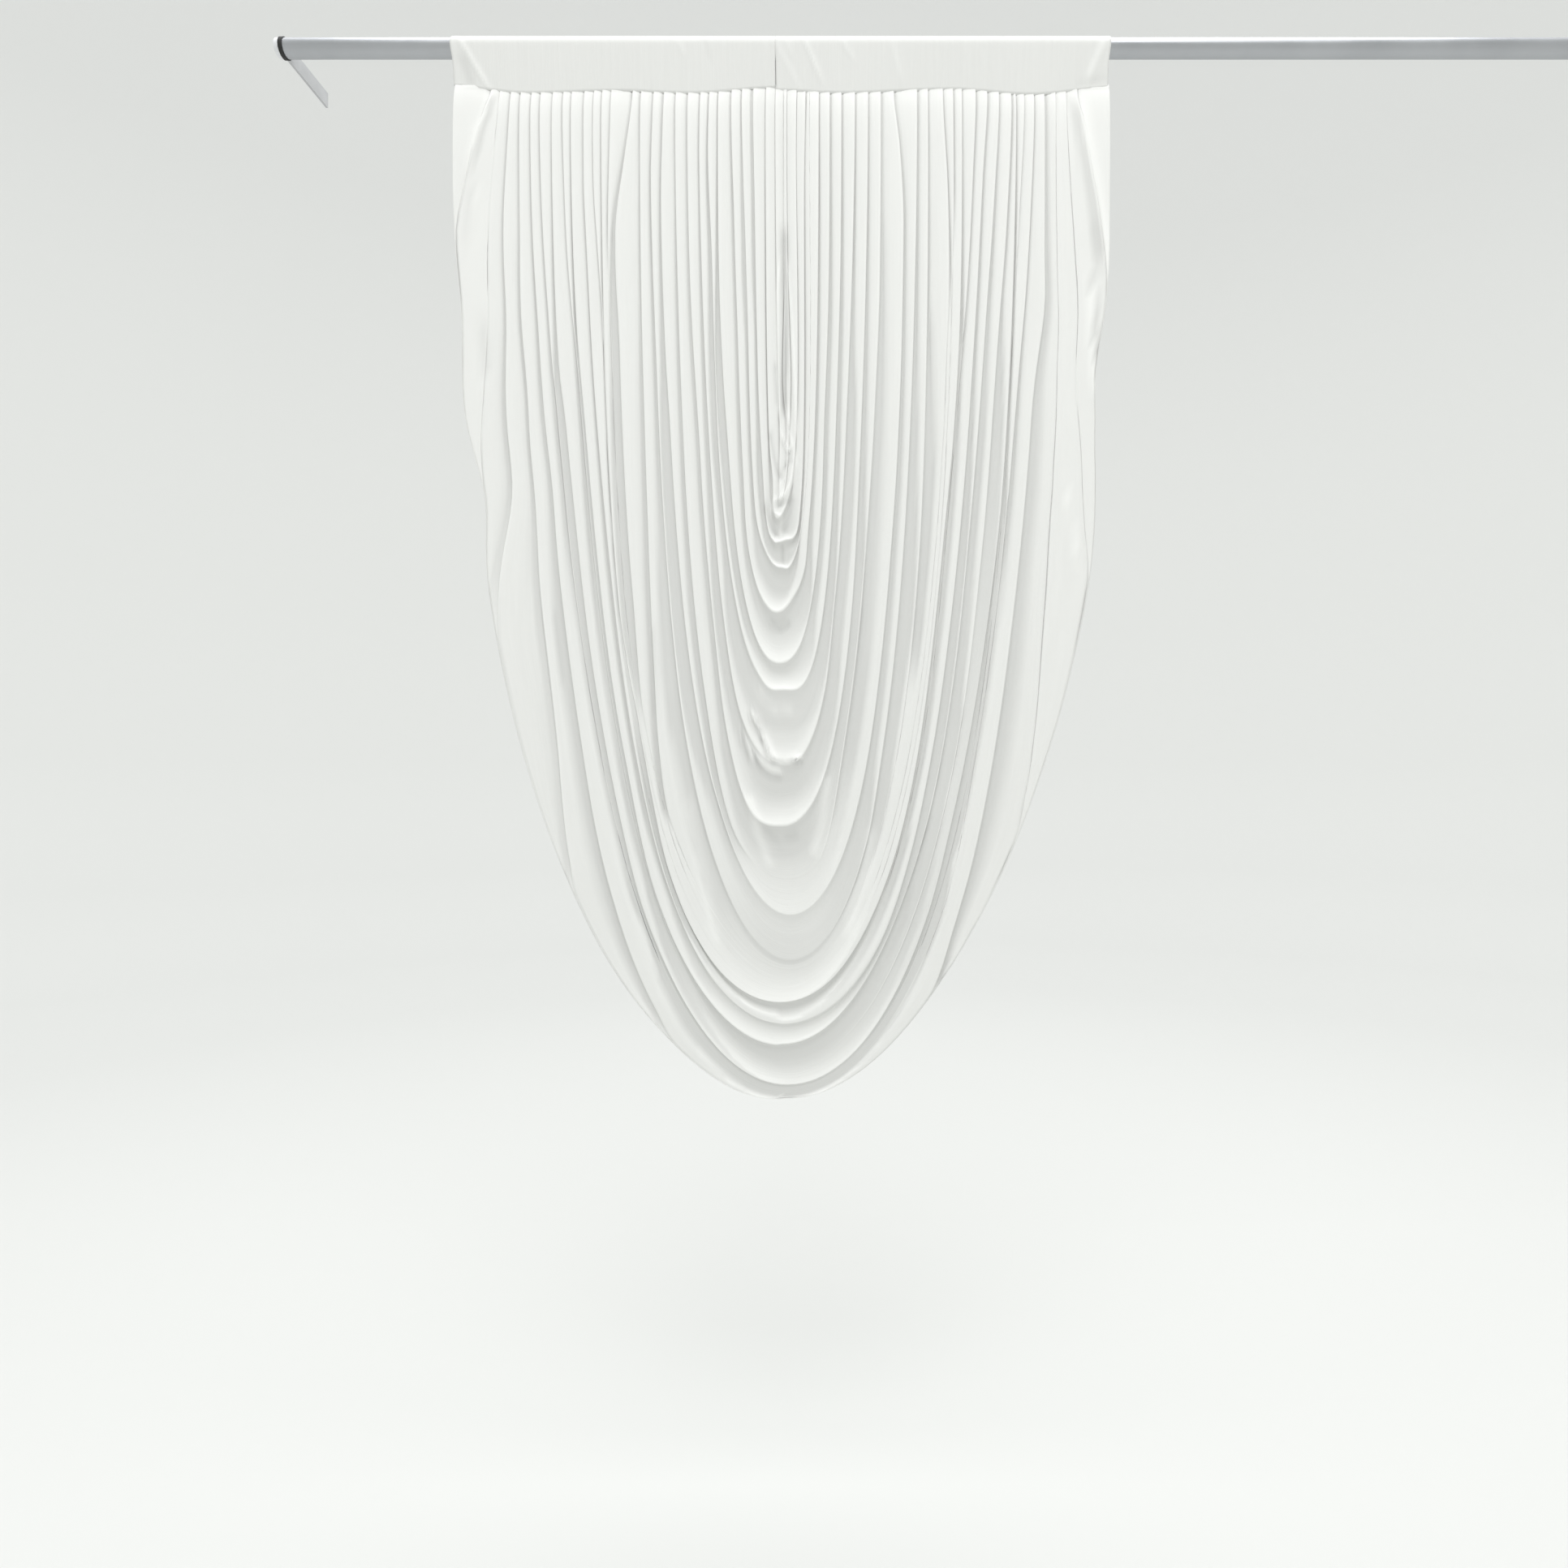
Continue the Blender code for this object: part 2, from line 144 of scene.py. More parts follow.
rubber, tree, shader = new_material("moulded_black_rubber", "#161616", 0.62)
place = add_node(tree, "TexCoord").outputs["Object"]
dust = add_node(tree, "TexNoise", {"Scale": DUST_SPOTS, "Detail": 5.0}, {"Vector": place})
black = add_node(tree, "ValToRGB", sources={"Fac": dust})
black.color_ramp.elements[0].color = linear("#0C0C0C")
black.color_ramp.elements[1].color = linear("#2B2B2A")
bump = add_node(tree, "Bump", {"Strength": 0.3, "Distance": 0.2 * MM}, {"Height": dust})
link(tree, shader, {"Base Color": black, "Normal": bump})
for side in ("left", "right"):
    dress("collar_" + side, rubber)

# ---------------------------------------------------------------- hook arms
# Flat steel bars on edge, sawn, powder coated a satin grey and bolted to the stand's posts. The
# coat is slightly orange-peeled.

ORANGE_PEEL = 2.5 * MM
RUBBED_PATCHES = 30.0  # to a metre, where handling has worn it

powder_coat, tree, shader = new_material("grey_powder_coated_steel", "#B9BABC", 0.45)
place = add_node(tree, "TexCoord").outputs["Object"]
peel = add_node(tree, "TexNoise", {"Scale": 1.0 / ORANGE_PEEL, "Detail": 2.0}, {"Vector": place})
rubbed = add_node(tree, "TexNoise", {"Scale": RUBBED_PATCHES, "Detail": 5.0}, {"Vector": place})
tone = add_node(tree, "ValToRGB", sources={"Fac": rubbed})
tone.color_ramp.elements[0].color = linear("#A9AAAC")
tone.color_ramp.elements[1].color = linear("#C4C5C7")
bump = add_node(tree, "Bump", {"Strength": 0.2, "Distance": 0.2 * MM}, {"Height": peel})
link(tree, shader, {"Base Color": tone, "Normal": bump})
for side in ("left", "right"):
    dress("hook_arm_" + side, powder_coat)

# ---------------------------------------------------------------- swag
# One sheet of white polyester knit, pleated by hand along the headings and left to fall in a U.
# Each pleat is a fold that runs down one side, round the bottom and up the other; the outer ones
# run off the rolled hem.

SWAG_CENTRE = 1032.0 * MM  # its centre line, along X
SEAM_DROP = 100.0 * MM  # from the bar's axis to the line where the pleats start
PLEATED_EDGE = -173.2 * MM  # where the pleated edge is sewn in below the bar, along Y
TUCKS = [19.0, 12.0, 5.0]  # rows of points up inside the headings, millimetres above that line
CLOTH = 1.0 * MM  # how thick the knit is
HALF_WIDTH = 674.0  # centre line to side edge at the heading, millimetres
HEM_DROP = 2074.0  # seam line to the lowest point of the hem, millimetres
HEM_DRIFT = 3.0  # and how far right of the centre line that is
HEM_SWELL = {-1: 38.0, 1: 68.0}  # how far the hem's legs swell out, left and right
PRESSED_PLEAT = 2.0  # depth of a pleat where it is sewn in, millimetres
HEADING_PLEAT = 5.0  # and where it has opened, just below
PLEAT_OPENS = 16.0  # how far below the heading's edge it has opened
BULGE = 10.0  # how far the pleats stand out just below the headings
BULGE_LENGTH = 24.0  # and how soon they do, below the edge
FORWARD_SAG = 24.0  # how far the lowest folds stand further out than that
FORWARD_SAG_FULL = 1700.0  # and how far down they stand so
LEG_STEP = (0.0, 32.0)  # degrees round the U: heading pleat to leg fold
LOW_STEP = (56.0, 84.0)  # leg fold to the fold at the bottom
SPREADING = (35.0, 80.0)  # and where a fold spreads over its neighbours
EDGE_WAVE_END = 4.0  # how soon the side edge's waves die out at the bottom
HEM_ROLL = 1.3  # how far the rolled hem stands proud, millimetres

# Degrees round the U from a heading at which the sheet has a row of points.
LEG_DEGREES = [0.0, 0.1, 0.2, 0.35, 0.55, 0.85, 1.3, 2.1, 3.4, *range(5, 60)]
LEG_DEGREES += [60.0 + 1.5 * step for step in range(20)]


def table(columns, rows, defaults=()):
    """A table's rows, with their columns named."""
    row_with_names = namedtuple("Row", columns, defaults=defaults)
    return [row_with_names(*row) for row in rows]


# One row a fold, from the middle of the swag outwards, in millimetres. left and right are where the
# fold's edge leaves the headings, either side of the centre line. Below that the legs swell out by
# left_swell and right_swell, and drop is how far down the edge's lowest point hangs, drift to the
# right of the centre line. The cloth steps back behind the edge by left_step, low_step and
# right_step, and comes forward again over spread folds at the bottom.
FOLDS = table("left left_swell drop drift right right_swell left_step low_step right_step spread", [
    (-6, 0, 747, 18, 2, 0, 4, 2, 2, 1),
    (12, 1, 810, 4, 8, 8, 5, 2, 4, 1),
    (34, 6, 880, -9, 22, 36, 8, 12, 8, 1),
    (57, 15, 945, -3, 43, 42, 10, 12, 10, 1),
    (77, 26, 1000, 0, 57, 42, 8, 8, 6, 1),
    (99, 32, 1072, -9, 71, 38, 14, 22, 14, 1),
    (131, 24, 1182, -4, 93, 49, 14, 22, 12, 1),
    (148, 32, 1262, 10, 118, 43, 18, 5, 14, 1),
    (167, 48, 1383, 10, 146, 32, 8, 14, 18, 1),
    (191, 48, 1507, 3, 173, 42, 8, 26, 14, 2),
    (219, 44, 1602, 10, 200, 56, 12, 0, 12, 1),
    (246, 44, 1688, 18, 238, 66, 14, 7, 16, 5),
    (267, 54, 1784, 18, 273, 66, 20, 1, 14, 4),
    (291, 78, 1808, 14, 299, 82, 14, 0, 14, 1),
    (319, 86, 1830, 8, 326, 86, 6, 0, 8, 1),
    (350, 88, 1850, 2, 347, 84, 14, 0, 6, 1),
    (372, 92, 1869, -3, 369, 78, 8, 16, 12, 2),
    (389, 88, 1890, 0, 390, 66, 4, 0, 4, 1),
    (405, 76, 1912, 3, 409, 56, 10, 8, 12, 1),
    (430, 68, 1954, 3, 430, 54, 20, 24, 14, 2),
    (450, 60, 1998, 8, 456, 58, 4, 0, 10, 1),
    (474, 50, 2038, 14, 482, 70, 20, 5, 22, 6),
])
LAST = len(FOLDS) - 1
# One row a fold with a lip at the bottom: how much of its reach there lies in its hollow, the painted
# shade there, down to -1 where it is darkest, and the painted light on the cloth past it, up to a
# painted highlight of 1 at the next lip.
LIPS = table("number hollow tone past", [
    (0, 0.05, -0.3, -0.3), (1, 0.15, -0.4, -0.5), (2, 0.7, -0.9, -0.9), (3, 0.75, -0.9, -0.9),
    (4, 0.65, -1.0, -0.8), (5, 0.45, -0.9, -0.7), (6, 0.4, -0.5, -0.3), (7, 0.6, -0.8, -0.5),
    (8, 0.55, -0.9, -0.7), (9, 0.3, -1.0, -0.5), (11, 0.45, -0.45, -0.4), (12, 0.08, -0.9, -0.3),
    (16, 0.45, -1.0, -0.8), (18, 0.15, -0.8, -0.1), (19, 0.42, -1.0, -0.8), (21, 0.75, -1.0, -0.6),
])
lips = {lip.number: lip for lip in LIPS}
PLAIN_HOLLOW = 0.4  # that share of the reach for a fold without a lip
DEEP_LIP = 0.2  # a lip's edge gets a painted highlight if its hollow's share is over this
LIP_RISE = 1.25  # how late the painted light on the cloth past a lip brightens
PAST_LIPS = 0.2  # and its painted tone past the lip's reach
OUTER_PLACES = 8  # pleat widths from the last full fold to the hem
HEM = 28  # the hem's number, after the folds and six outer pleats
OUTER_STEPS = {-1: [8, 14, 10, 9, 9, 7], 1: [7, 9, 16, 14, 10, 14]}  # the outer pleats' steps

# One row a pleat, from the middle outwards, and one for the hem. place is where its edge runs, counted
# in pleats, hollow how many pleats wide the cloth stays back behind it, and strength how much of its
# depth it keeps. Each is a curve of {degrees round the U: value}.
FULL = {0: 1.0}
NARROW = {0: 0.1, 20: 0.15, 60: 0.3}
CREVICE = {0: 0.05, 60: 0.1}
WIDEN = {0: 1.0, 12: 1.2, 25: 2.1, 40: 2.5, 60: 2.3}  # how much wider narrow hollows get
PLEAT_COLUMNS = "place hollow strength"
LEFT_PLEATS = table(PLEAT_COLUMNS, [
    ({0: 0.1, 30: 0.1, 50: 0.5, 65: 0.2, 80: 0.0}, CREVICE),
    ({0: 1.05, 60: 0.95, 75: 1.25, 90: 1.5}, CREVICE),
    ({0: 1.95, 55: 1.9, 68: 1.75, 78: 1.95, 90: 2.0}, {0: 0.1, 55: 0.12, 70: 0.4}),
    ({0: 3.1, 15: 2.95, 55: 2.9, 70: 3.2, 80: 2.95, 90: 2.75},
     {0: 0.3, 22: 0.25, 32: 0.12, 45: 0.25, 55: 0.6, 72: 0.5}),
    ({0: 4.25, 10: 4.1, 20: 3.9, 32: 3.8, 50: 4.0, 62: 4.15, 90: 3.65},
     {0: 0.12, 20: 0.3, 35: 0.15, 60: 0.2, 72: 0.6}),
    ({0: 5.15, 15: 4.95, 30: 4.75, 48: 4.8, 60: 5.05, 82: 5.0}, {0: 0.1, 30: 0.15, 55: 0.25, 70: 0.3}),
    ({0: 6.0, 20: 6.1, 40: 5.9, 60: 6.05, 90: 5.95},
     {0: 0.15, 15: 0.25, 24: 0.5, 30: 0.85, 42: 0.8, 60: 0.6, 75: 0.3}),
    ({0: 7.1, 6: 7.2, 17: 6.9, 35: 7.05, 60: 7.1, 76: 6.9, 90: 6.6},
     {0: 0.15, 10: 0.25, 25: 0.3, 45: 0.15, 55: 0.4, 75: 0.5}),
    ({0: 8.05, 6: 8.1, 25: 7.85, 38: 7.8, 52: 8.0, 65: 8.2, 90: 8.0},
     {0: 0.12, 35: 0.15, 50: 0.25, 70: 0.2}),
    ({0: 9.1, 15: 9.0, 30: 8.6, 48: 8.65, 60: 9.0, 72: 9.3, 90: 9.0},
     {0: 0.12, 50: 0.15, 62: 0.4, 75: 0.6}),
    ({0: 10.0, 25: 9.9, 50: 10.15, 65: 10.6, 75: 10.4, 90: 10.2}, {0: 0.1, 30: 0.12, 50: 0.2},
     {0: 1, 60: 1, 75: 0.4}),
    ({0: 10.9, 8: 11.15, 18: 11.05, 25: 10.9, 50: 11.0, 90: 11.0},
     {0: 0.2, 18: 0.25, 24: 0.4, 40: 0.4, 50: 0.3, 60: 0.15}),
    ({0: 11.9, 6: 12.1, 20: 11.9, 45: 12.05, 60: 12.05, 90: 12.0},
     {0: 0.15, 25: 0.15, 38: 0.35, 48: 0.7, 58: 1.1, 66: 1.6, 74: 2.4}),
    ({0: 13.0, 20: 13.0, 30: 13.15, 40: 13.6, 48: 14.2, 54: 14.5, 70: 13.6, 90: 13.0},
     {0: 0.12, 40: 0.15}, {0: 1, 50: 1, 56: 0}),
    ({0: 13.6, 4: 14.1, 9: 14.8, 17: 14.65, 35: 14.65, 45: 14.9, 90: 14.0},
     {0: 0.1, 10: 0.3, 17: 0.55, 35: 0.55, 42: 0.2}, {0: 2.0, 36: 2.0, 46: 0}),
    ({0: 15.1, 9: 15.4, 20: 15.35, 35: 15.4, 60: 15.3, 90: 15.0}, NARROW, {0: 0.8, 8: 0.8, 13: 0}),
    ({0: 15.95, 35: 15.95, 45: 15.45, 52: 15.6, 58: 15.9, 70: 16.1, 90: 15.9},
     {0: 0.12, 40: 0.12, 50: 0.3, 60: 0.4, 70: 0.9, 80: 1.0}, {0: 1, 10: 1, 18: 0.4, 42: 0.4, 55: 1}),
    ({0: 16.95, 6: 16.9, 10: 16.5, 14: 16.15, 30: 16.1, 50: 16.0, 90: 16.6}, NARROW,
     {0: 1, 13: 1, 17: 0}),
    ({0: 18.1, 6: 18.1, 12: 17.8, 18: 17.5, 26: 16.95, 35: 16.6, 48: 16.5, 58: 16.9, 66: 17.4, 72: 17.7,
     90: 17.95}, {0: 0.12, 20: 0.15, 30: 0.25, 45: 0.3, 55: 0.7, 62: 0.9, 70: 0.5, 80: 0.2},
     {0: 1, 12: 1, 20: 0.75, 46: 0.75, 55: 1}),
    ({0: 19.2, 8: 19.15, 14: 19.0, 22: 18.6, 32: 18.4, 46: 18.4, 58: 18.95, 90: 19.0},
     {0: 0.1, 15: 0.15, 28: 0.3, 45: 0.35, 55: 0.9, 62: 1.5, 75: 1.7}),
    ({0: 20.05, 6: 19.9, 10: 19.7, 15: 19.25, 22: 18.9, 35: 18.75, 50: 18.9, 90: 20.0}, NARROW,
     {0: 1, 25: 1, 35: 0.3, 60: 0.1}),
    ({0: 20.95, 16: 20.9, 20: 20.55, 28: 20.3, 40: 20.3, 48: 20.5, 56: 20.95, 90: 20.9},
     {0: 0.1, 15: 0.2, 22: 0.65, 48: 0.6, 55: 0.6, 62: 1.5, 72: 4.0, 90: 4.5}),
    ({0: 21.95, 8: 21.8, 17: 21.4, 25: 21.2, 40: 21.1, 60: 21.5, 90: 22.0}, NARROW, {0: 1, 20: 1, 36: 0}),
    ({0: 22.7, 10: 22.6, 18: 22.35, 30: 22.25, 40: 22.6, 48: 23.4, 57: 24.6, 66: 26.6, 72: 29},
     {0: 0.1, 18: 0.2, 30: 0.3, 38: 0.8, 46: 1.0, 60: 1.2}, {0: 1, 60: 1, 70: 0.3}),
    ({0: 23.6, 8: 23.65, 13: 23.9, 18: 23.6, 23: 24.0, 28: 23.9, 40: 24.8, 50: 27.4, 55: 29},
     {0: 0.12, 13: 0.2, 22: 0.15, 30: 0.3}, {0: 1, 20: 1, 26: 0.5, 50: 0.3}),
    ({0: 24.4, 8: 25.0, 15: 25.25, 20: 25.6, 24: 26.2, 38: 29}, {0: 0.12, 15: 0.2, 24: 0.3},
     {0: 1, 20: 0.9, 26: 0.4, 36: 0.1}),
    ({0: 25.3, 6: 26.0, 12: 26.6, 18: 27.3, 24: 29}, NARROW, {0: 0.4, 2: 0}),
    ({0: 26.0, 1.3: 26.5, 2.5: 27.1, 4.3: 27.7, 9: 29}, NARROW, {0: 0.5, 2: 0}),
    ({0: 29, 22: 29, 28: 28.5, 50: 28.5, 66: 28.7, 78: 28.4, 90: 27.0}, NARROW),
], defaults=(FULL,))
RIGHT_PLEATS = table(PLEAT_COLUMNS, [
    ({0: 0.0}, CREVICE),
    ({0: 1.0, 25: 1.1, 35: 1.3, 45: 1.5, 60: 1.5, 90: 1.5}, CREVICE),
    ({0: 2.3, 10: 2.25, 60: 2.3, 75: 2.1, 90: 2.0}, CREVICE, {0: 1, 8: 0.6, 60: 0.55, 80: 0.55, 88: 1}),
    ({0: 3.3, 12: 3.05, 30: 2.95, 45: 3.05, 60: 3.45, 68: 3.6, 80: 2.9, 90: 2.75}, {0: 0.15, 60: 0.2},
     {0: 1, 6: 0.6, 62: 0.6, 72: 1}),
    ({0: 3.9, 60: 4.1, 80: 3.9, 90: 3.65}, {60: 0.3, 75: 0.6}, {0: 0, 64: 0, 72: 1}),
    ({0: 5.15, 30: 5.1, 55: 5.2, 62: 5.35, 75: 5.1, 90: 5.0}, {0: 0.1, 50: 0.12, 60: 0.4, 70: 0.7}),
    ({0: 6.15, 20: 6.1, 35: 5.9, 45: 6.0, 60: 6.1, 72: 6.1, 90: 5.95},
     {0: 0.15, 30: 0.2, 60: 0.2, 70: 0.5}),
    ({0: 7.1, 15: 7.1, 35: 6.95, 66: 7.0, 76: 6.9, 90: 6.6},
     {0: 0.12, 35: 0.2, 55: 0.5, 68: 0.8, 75: 0.5}),
    ({0: 8.1, 15: 8.0, 30: 7.85, 50: 7.85, 62: 8.1, 90: 8.0},
     {0: 0.1, 20: 0.15, 28: 0.35, 50: 0.4, 62: 0.7, 75: 0.5}),
    ({0: 9.1, 30: 9.0, 45: 9.15, 65: 9.2, 90: 9.0}, {0: 0.1, 35: 0.2, 60: 0.5, 80: 0.6}),
    ({0: 10.05, 15: 10.05, 25: 9.9, 35: 9.75, 50: 9.7, 60: 9.8, 75: 10.3, 90: 10.2},
     {0: 0.1, 25: 0.25, 40: 0.25, 55: 0.3, 65: 0.2}),
    ({0: 10.75, 4: 11.1, 9: 11.35, 25: 11.3, 35: 11.15, 48: 11.05, 90: 11.0},
     {0: 0.1, 50: 0.15, 60: 0.4, 70: 0.6}),
    ({0: 12.15, 12: 12.1, 30: 11.95, 50: 11.85, 60: 12.0},
     {0: 0.15, 20: 0.25, 35: 0.5, 45: 0.8, 55: 1.0, 65: 0.8, 75: 0.4}),
    ({0: 13.0, 18: 13.1, 30: 13.2, 45: 13.2, 60: 13.0}, {0: 0.08, 12: 0.1, 20: 0.35, 28: 0.5, 36: 0.3},
     {0: 1, 34: 1, 44: 0}),
    ({0: 14.2, 6: 14.7, 12: 15.0, 20: 15.0, 90: 14.0}, NARROW, {0: 1, 10: 1, 16: 0}),
    ({0: 15.2, 8: 15.3, 30: 15.3, 90: 15.0}, NARROW, {0: 1, 6: 1, 11: 0}),
    ({0: 16.0, 15: 16.15, 22: 16.0, 30: 15.65, 38: 15.6, 48: 15.9, 58: 16.2, 75: 16.2, 90: 15.9},
     {0: 0.12, 20: 0.25, 30: 0.35, 40: 0.35, 48: 0.5, 54: 1.2, 62: 1.3, 75: 1.5}),
    ({0: 17.4, 5: 17.15, 12: 16.8, 17: 16.45, 30: 15.9, 50: 16.3, 90: 16.8}, {0: 0.2, 12: 0.15},
     {0: 1, 15: 1, 20: 0}),
    ({0: 18.6, 5: 18.2, 12: 17.9, 20: 17.65, 35: 17.55, 45: 17.85, 55: 18.25, 65: 18.5, 90: 18.0},
     {0: 0.2, 15: 0.2, 30: 0.4, 45: 0.5, 52: 1.0, 62: 0.5}),
    ({0: 19.6, 6: 19.3, 16: 18.8, 28: 18.6, 38: 18.8, 48: 19.0, 62: 18.9, 90: 18.95},
     {0: 0.12, 20: 0.3, 38: 0.3, 48: 0.9, 60: 1.5, 75: 1.7}),
    ({0: 20.6, 8: 20.3, 14: 19.95, 20: 19.8, 30: 19.8, 45: 20.0}, {0: 0.12, 12: 0.12, 20: 0.5},
     {0: 1, 18: 1, 26: 0.5, 50: 0.2}),
    ({0: 20.95, 25: 20.95, 35: 20.75, 48: 20.65, 56: 20.8, 90: 20.9},
     {0: 0.1, 22: 0.1, 30: 0.35, 48: 0.5, 56: 1.8, 65: 3.0, 75: 4.2, 90: 4.5},
     {0: 1, 9: 1, 15: 0.6, 40: 0.6, 54: 1}),
    ({0: 21.65, 8: 21.25, 15: 21.1, 60: 21.3, 90: 22.0}, NARROW, {0: 0.6, 7: 0.5, 12: 0}),
    ({0: 22.5, 8: 22.2, 16: 21.8, 22: 21.5, 35: 21.4, 45: 21.6, 57: 22.6, 90: 24.0}, NARROW,
     {0: 1, 22: 1, 34: 0}),
    ({0: 23.4, 9: 23.5, 13: 23.7, 20: 23.0, 27: 22.8, 35: 22.85, 43: 23.2, 50: 23.9, 57: 25.2, 63: 27.6,
     68: 29}, {0: 0.25, 12: 0.4, 20: 0.7, 30: 0.9, 40: 1.2, 52: 1.2, 60: 0.8}),
    ({0: 24.35, 10: 24.6, 17: 25.4, 22: 25.0, 27: 25.05, 33: 25.5, 38: 26.2, 46: 27.6, 52: 29},
     {0: 0.1, 15: 0.3, 22: 0.25, 30: 0.4, 40: 0.3}, {0: 0.5, 2: 0}),
    ({0: 25.25, 9: 26.0, 14: 26.8, 17: 27.2, 24: 27.6, 31: 29}, {0: 0.12, 17: 0.25}, {0: 0.5, 2: 0}),
    ({0: 26.2, 2.2: 26.85, 4.1: 27.3, 5.9: 27.86, 7.8: 28.3, 9.2: 28.6, 12: 29}, {0: 0.3, 5: 1.0},
     {0: 0.3, 2: 0}),
    ({0: 29, 18: 29, 21: 28.6, 28: 28.85, 36: 28.5, 45: 28.1, 65: 28.0, 75: 27.8, 90: 26.6}, NARROW),
], defaults=(FULL,))

# One row a crease in the cloth besides its pleats, along points in millimetres from the centre line
# and below the seam line. height is how far it stands out, or in below 0, at its middle. side is -1
# or 1 where it drops away at once to the left or right of a course that runs down. The others are
# even.
CREASES = table("points width height side", [
    # the slit between the inner folds
    ([(4, 270), (5, 362), (8, 479), (6, 595), (7, 690)], 13, -5.5),
    ([(-4, 330), (-9, 420), (-9, 512), (-8, 587), (-6, 645), (-3, 681)], 5, 3.5),
    ([(-14, 560), (-10, 655)], 5, -3),
    ([(9, 330), (18, 440), (25, 560), (29, 645), (31, 745)], 5, 3.5),
    # the tip of the loop inside it
    ([(9, 550), (12, 645), (17, 708), (22, 736), (17, 743), (11, 738), (4, 719), (-5, 690)], 5, 3.5),
    ([(15, 690), (17, 734)], 4, -2),
    ([(24, 758), (6, 776), (0, 804)], 8, -2),
    ([(-25, 700), (-14, 770), (0, 808)], 6, -3),
    # the inner fold's edge, which runs down to the right of it and curls over on itself
    ([(28, 720), (27, 770), (20, 811), (3, 838), (-12, 844), (-20, 856), (-18, 868), (-8, 875), (4, 878)],
     6, 3.5),
    ([(-10, 857), (2, 853), (16, 843)], 8, -2.5),
    ([(22, 832), (13, 880), (2, 912)], 10, -3),
    ([(-36, 850), (-22, 898), (-10, 918)], 9, -2.5),
    ([(-1, 874), (-3, 922)], 6, 2),
    ([(2, 932), (2, 976)], 5, -2.5),
    # crumples between the lips below it
    ([(-26, 1092), (-4, 1106), (18, 1092)], 10, -3),
    ([(-52, 1218), (-36, 1250), (-6, 1280), (28, 1268)], 12, 2),
    ([(-66, 1275), (-44, 1312), (-28, 1352), (-20, 1375)], 8, 9, -1),
    ([(-26, 1373), (10, 1377), (48, 1372)], 5, 7, -1),
    ([(-86, 1312), (-62, 1360), (-22, 1392), (6, 1404)], 7, 7, -1),
    ([(-42, 1296), (-34, 1345)], 10, -5),
    # creases that run down from the legs and end above the broad fold
    ([(-66, 1440), (-50, 1520), (-18, 1604)], 16, 3),
    ([(96, 1400), (84, 1500), (62, 1580)], 16, 3),
    ([(-40, 1512), (-2, 1545), (36, 1518)], 12, -2),
    ([(-190, 1440), (-164, 1580), (-126, 1772)], 20, 2),
    ([(186, 1500), (174, 1600), (150, 1668), (134, 1750)], 20, 2),
    # short ticks where a leg fold is pinched
    ([(-171, 1034), (-164, 1052)], 6, 2),
    ([(-262, 1090), (-258, 1300)], 10, -1.5),
    ([(418, 1050), (430, 1060)], 6, 2),
    ([(580, 810), (608, 975)], 8, 2),
    # the side strip's turned end on the left, and the folded leaf on the right
    ([(-598, -10), (-611, 47), (-627, 89), (-642, 155), (-645, 170)], 10, 3, 1),
    ([(-640, 200), (-650, 330)], 20, -1.5),
    ([(-624, 190), (-628, 345)], 10, 1.5),
    ([(-618, 460), (-604, 600)], 18, -2),
    ([(606, -10), (622, 80), (634, 147), (646, 213), (656, 280), (662, 330), (664, 390)], 15, 3, -1),
    ([(640, 250), (650, 330), (654, 360)], 18, -2),
    ([(630, 370), (635, 440), (642, 640)], 10, 3, 1),
    ([(610, 396), (622, 415)], 6, 2),
], defaults=(0,))
CREASE_END = 0.12  # how much of a crease fades in and out at its ends
CREASE_REACH = 2.0  # how far it shows on each side, out of its width
CREASE_CREST = 1.6  # how narrow its crest is
SHARP_SIDE, SOFT_SIDE = 0.4, 1.6  # how wide it is on the side that drops away, and on the other
CREASE_TONE = 0.3  # painted highlight on a raised crease and painted shade in a dent, for a millimetre of height
SHADE = 1.1  # and the painted shade on the side that drops away
SHADE_RISE, SHADE_END = 3.0, 1.9  # how soon that painted shade starts, and where it ends, out of its width
CLOSEST = 0.1  # the closest two edges come, in pleats
CLOSEST_AT_HEM = CLOSEST * 0.4  # and where they run off the hem
RUN_OFF = 1.2  # how far from the hem a pleat starts to run out, in pleats

# The headings' lower edges, as {from the middle of the swag: below the bar's axis} in millimetres.
SEAM = -14.0  # where the two headings meet
LEFT_EDGE = {-680: 83, -600: 93, -530: 99, -345: 94, -180: 99, 0: 87}
RIGHT_EDGE = {-14: 93, 120: 99, 355: 91, 520: 102, 680: 87}

# One row a place where the left side edge, -1, or the right one, 1, waves out of its half ellipse, in
# millimetres.
EDGE_WAVES = table("side down reach shift", [
    (-1, 180, 200, 3), (-1, 470, 110, -8), (-1, 830, 110, -27), (-1, 1990, 130, -10),
    (1, 600, 130, -24), (1, 1820, 250, -8),
])

# The section of one fold where the cloth turns back behind its edge: across and low_across are out
# of the fold's width, in the legs and at the bottom, and depth out of its step.
TURN_BACK = table("across low_across depth", [
    (0.0, 0.0, 0.0), (0.04, 0.04, 0.22), (0.03, 0.12, 0.7), (0.07, 0.22, 1.0),
])
FALL = {0: 0.12, 25: 0.26, 60: 0.3}  # how soon the cloth comes forward past the hollow
HOLLOW_SHARES = [0.5, 0.85]  # columns in the hollow and on the flat band past it
BAND_SHARES = [0.3, 0.62, 0.88]
LEAST_RISE, MOST_RISE = 0.2, 0.6  # where the band starts, out of the pleat's width
INNER_FOLDS = 3  # these are close together, so their hollows stay narrow
INNER_FALL = 0.5  # and the cloth comes forward this much sooner
WIDEST, WIDEST_FADE = 0.9, 0.6  # hollows this wide are not widened, and narrower ones fade in
WIDEN_FOLDS = 8.0  # as they do over this many folds outwards
CORE_FOLDS = 9  # the inner folds, which are crumpled, have more columns
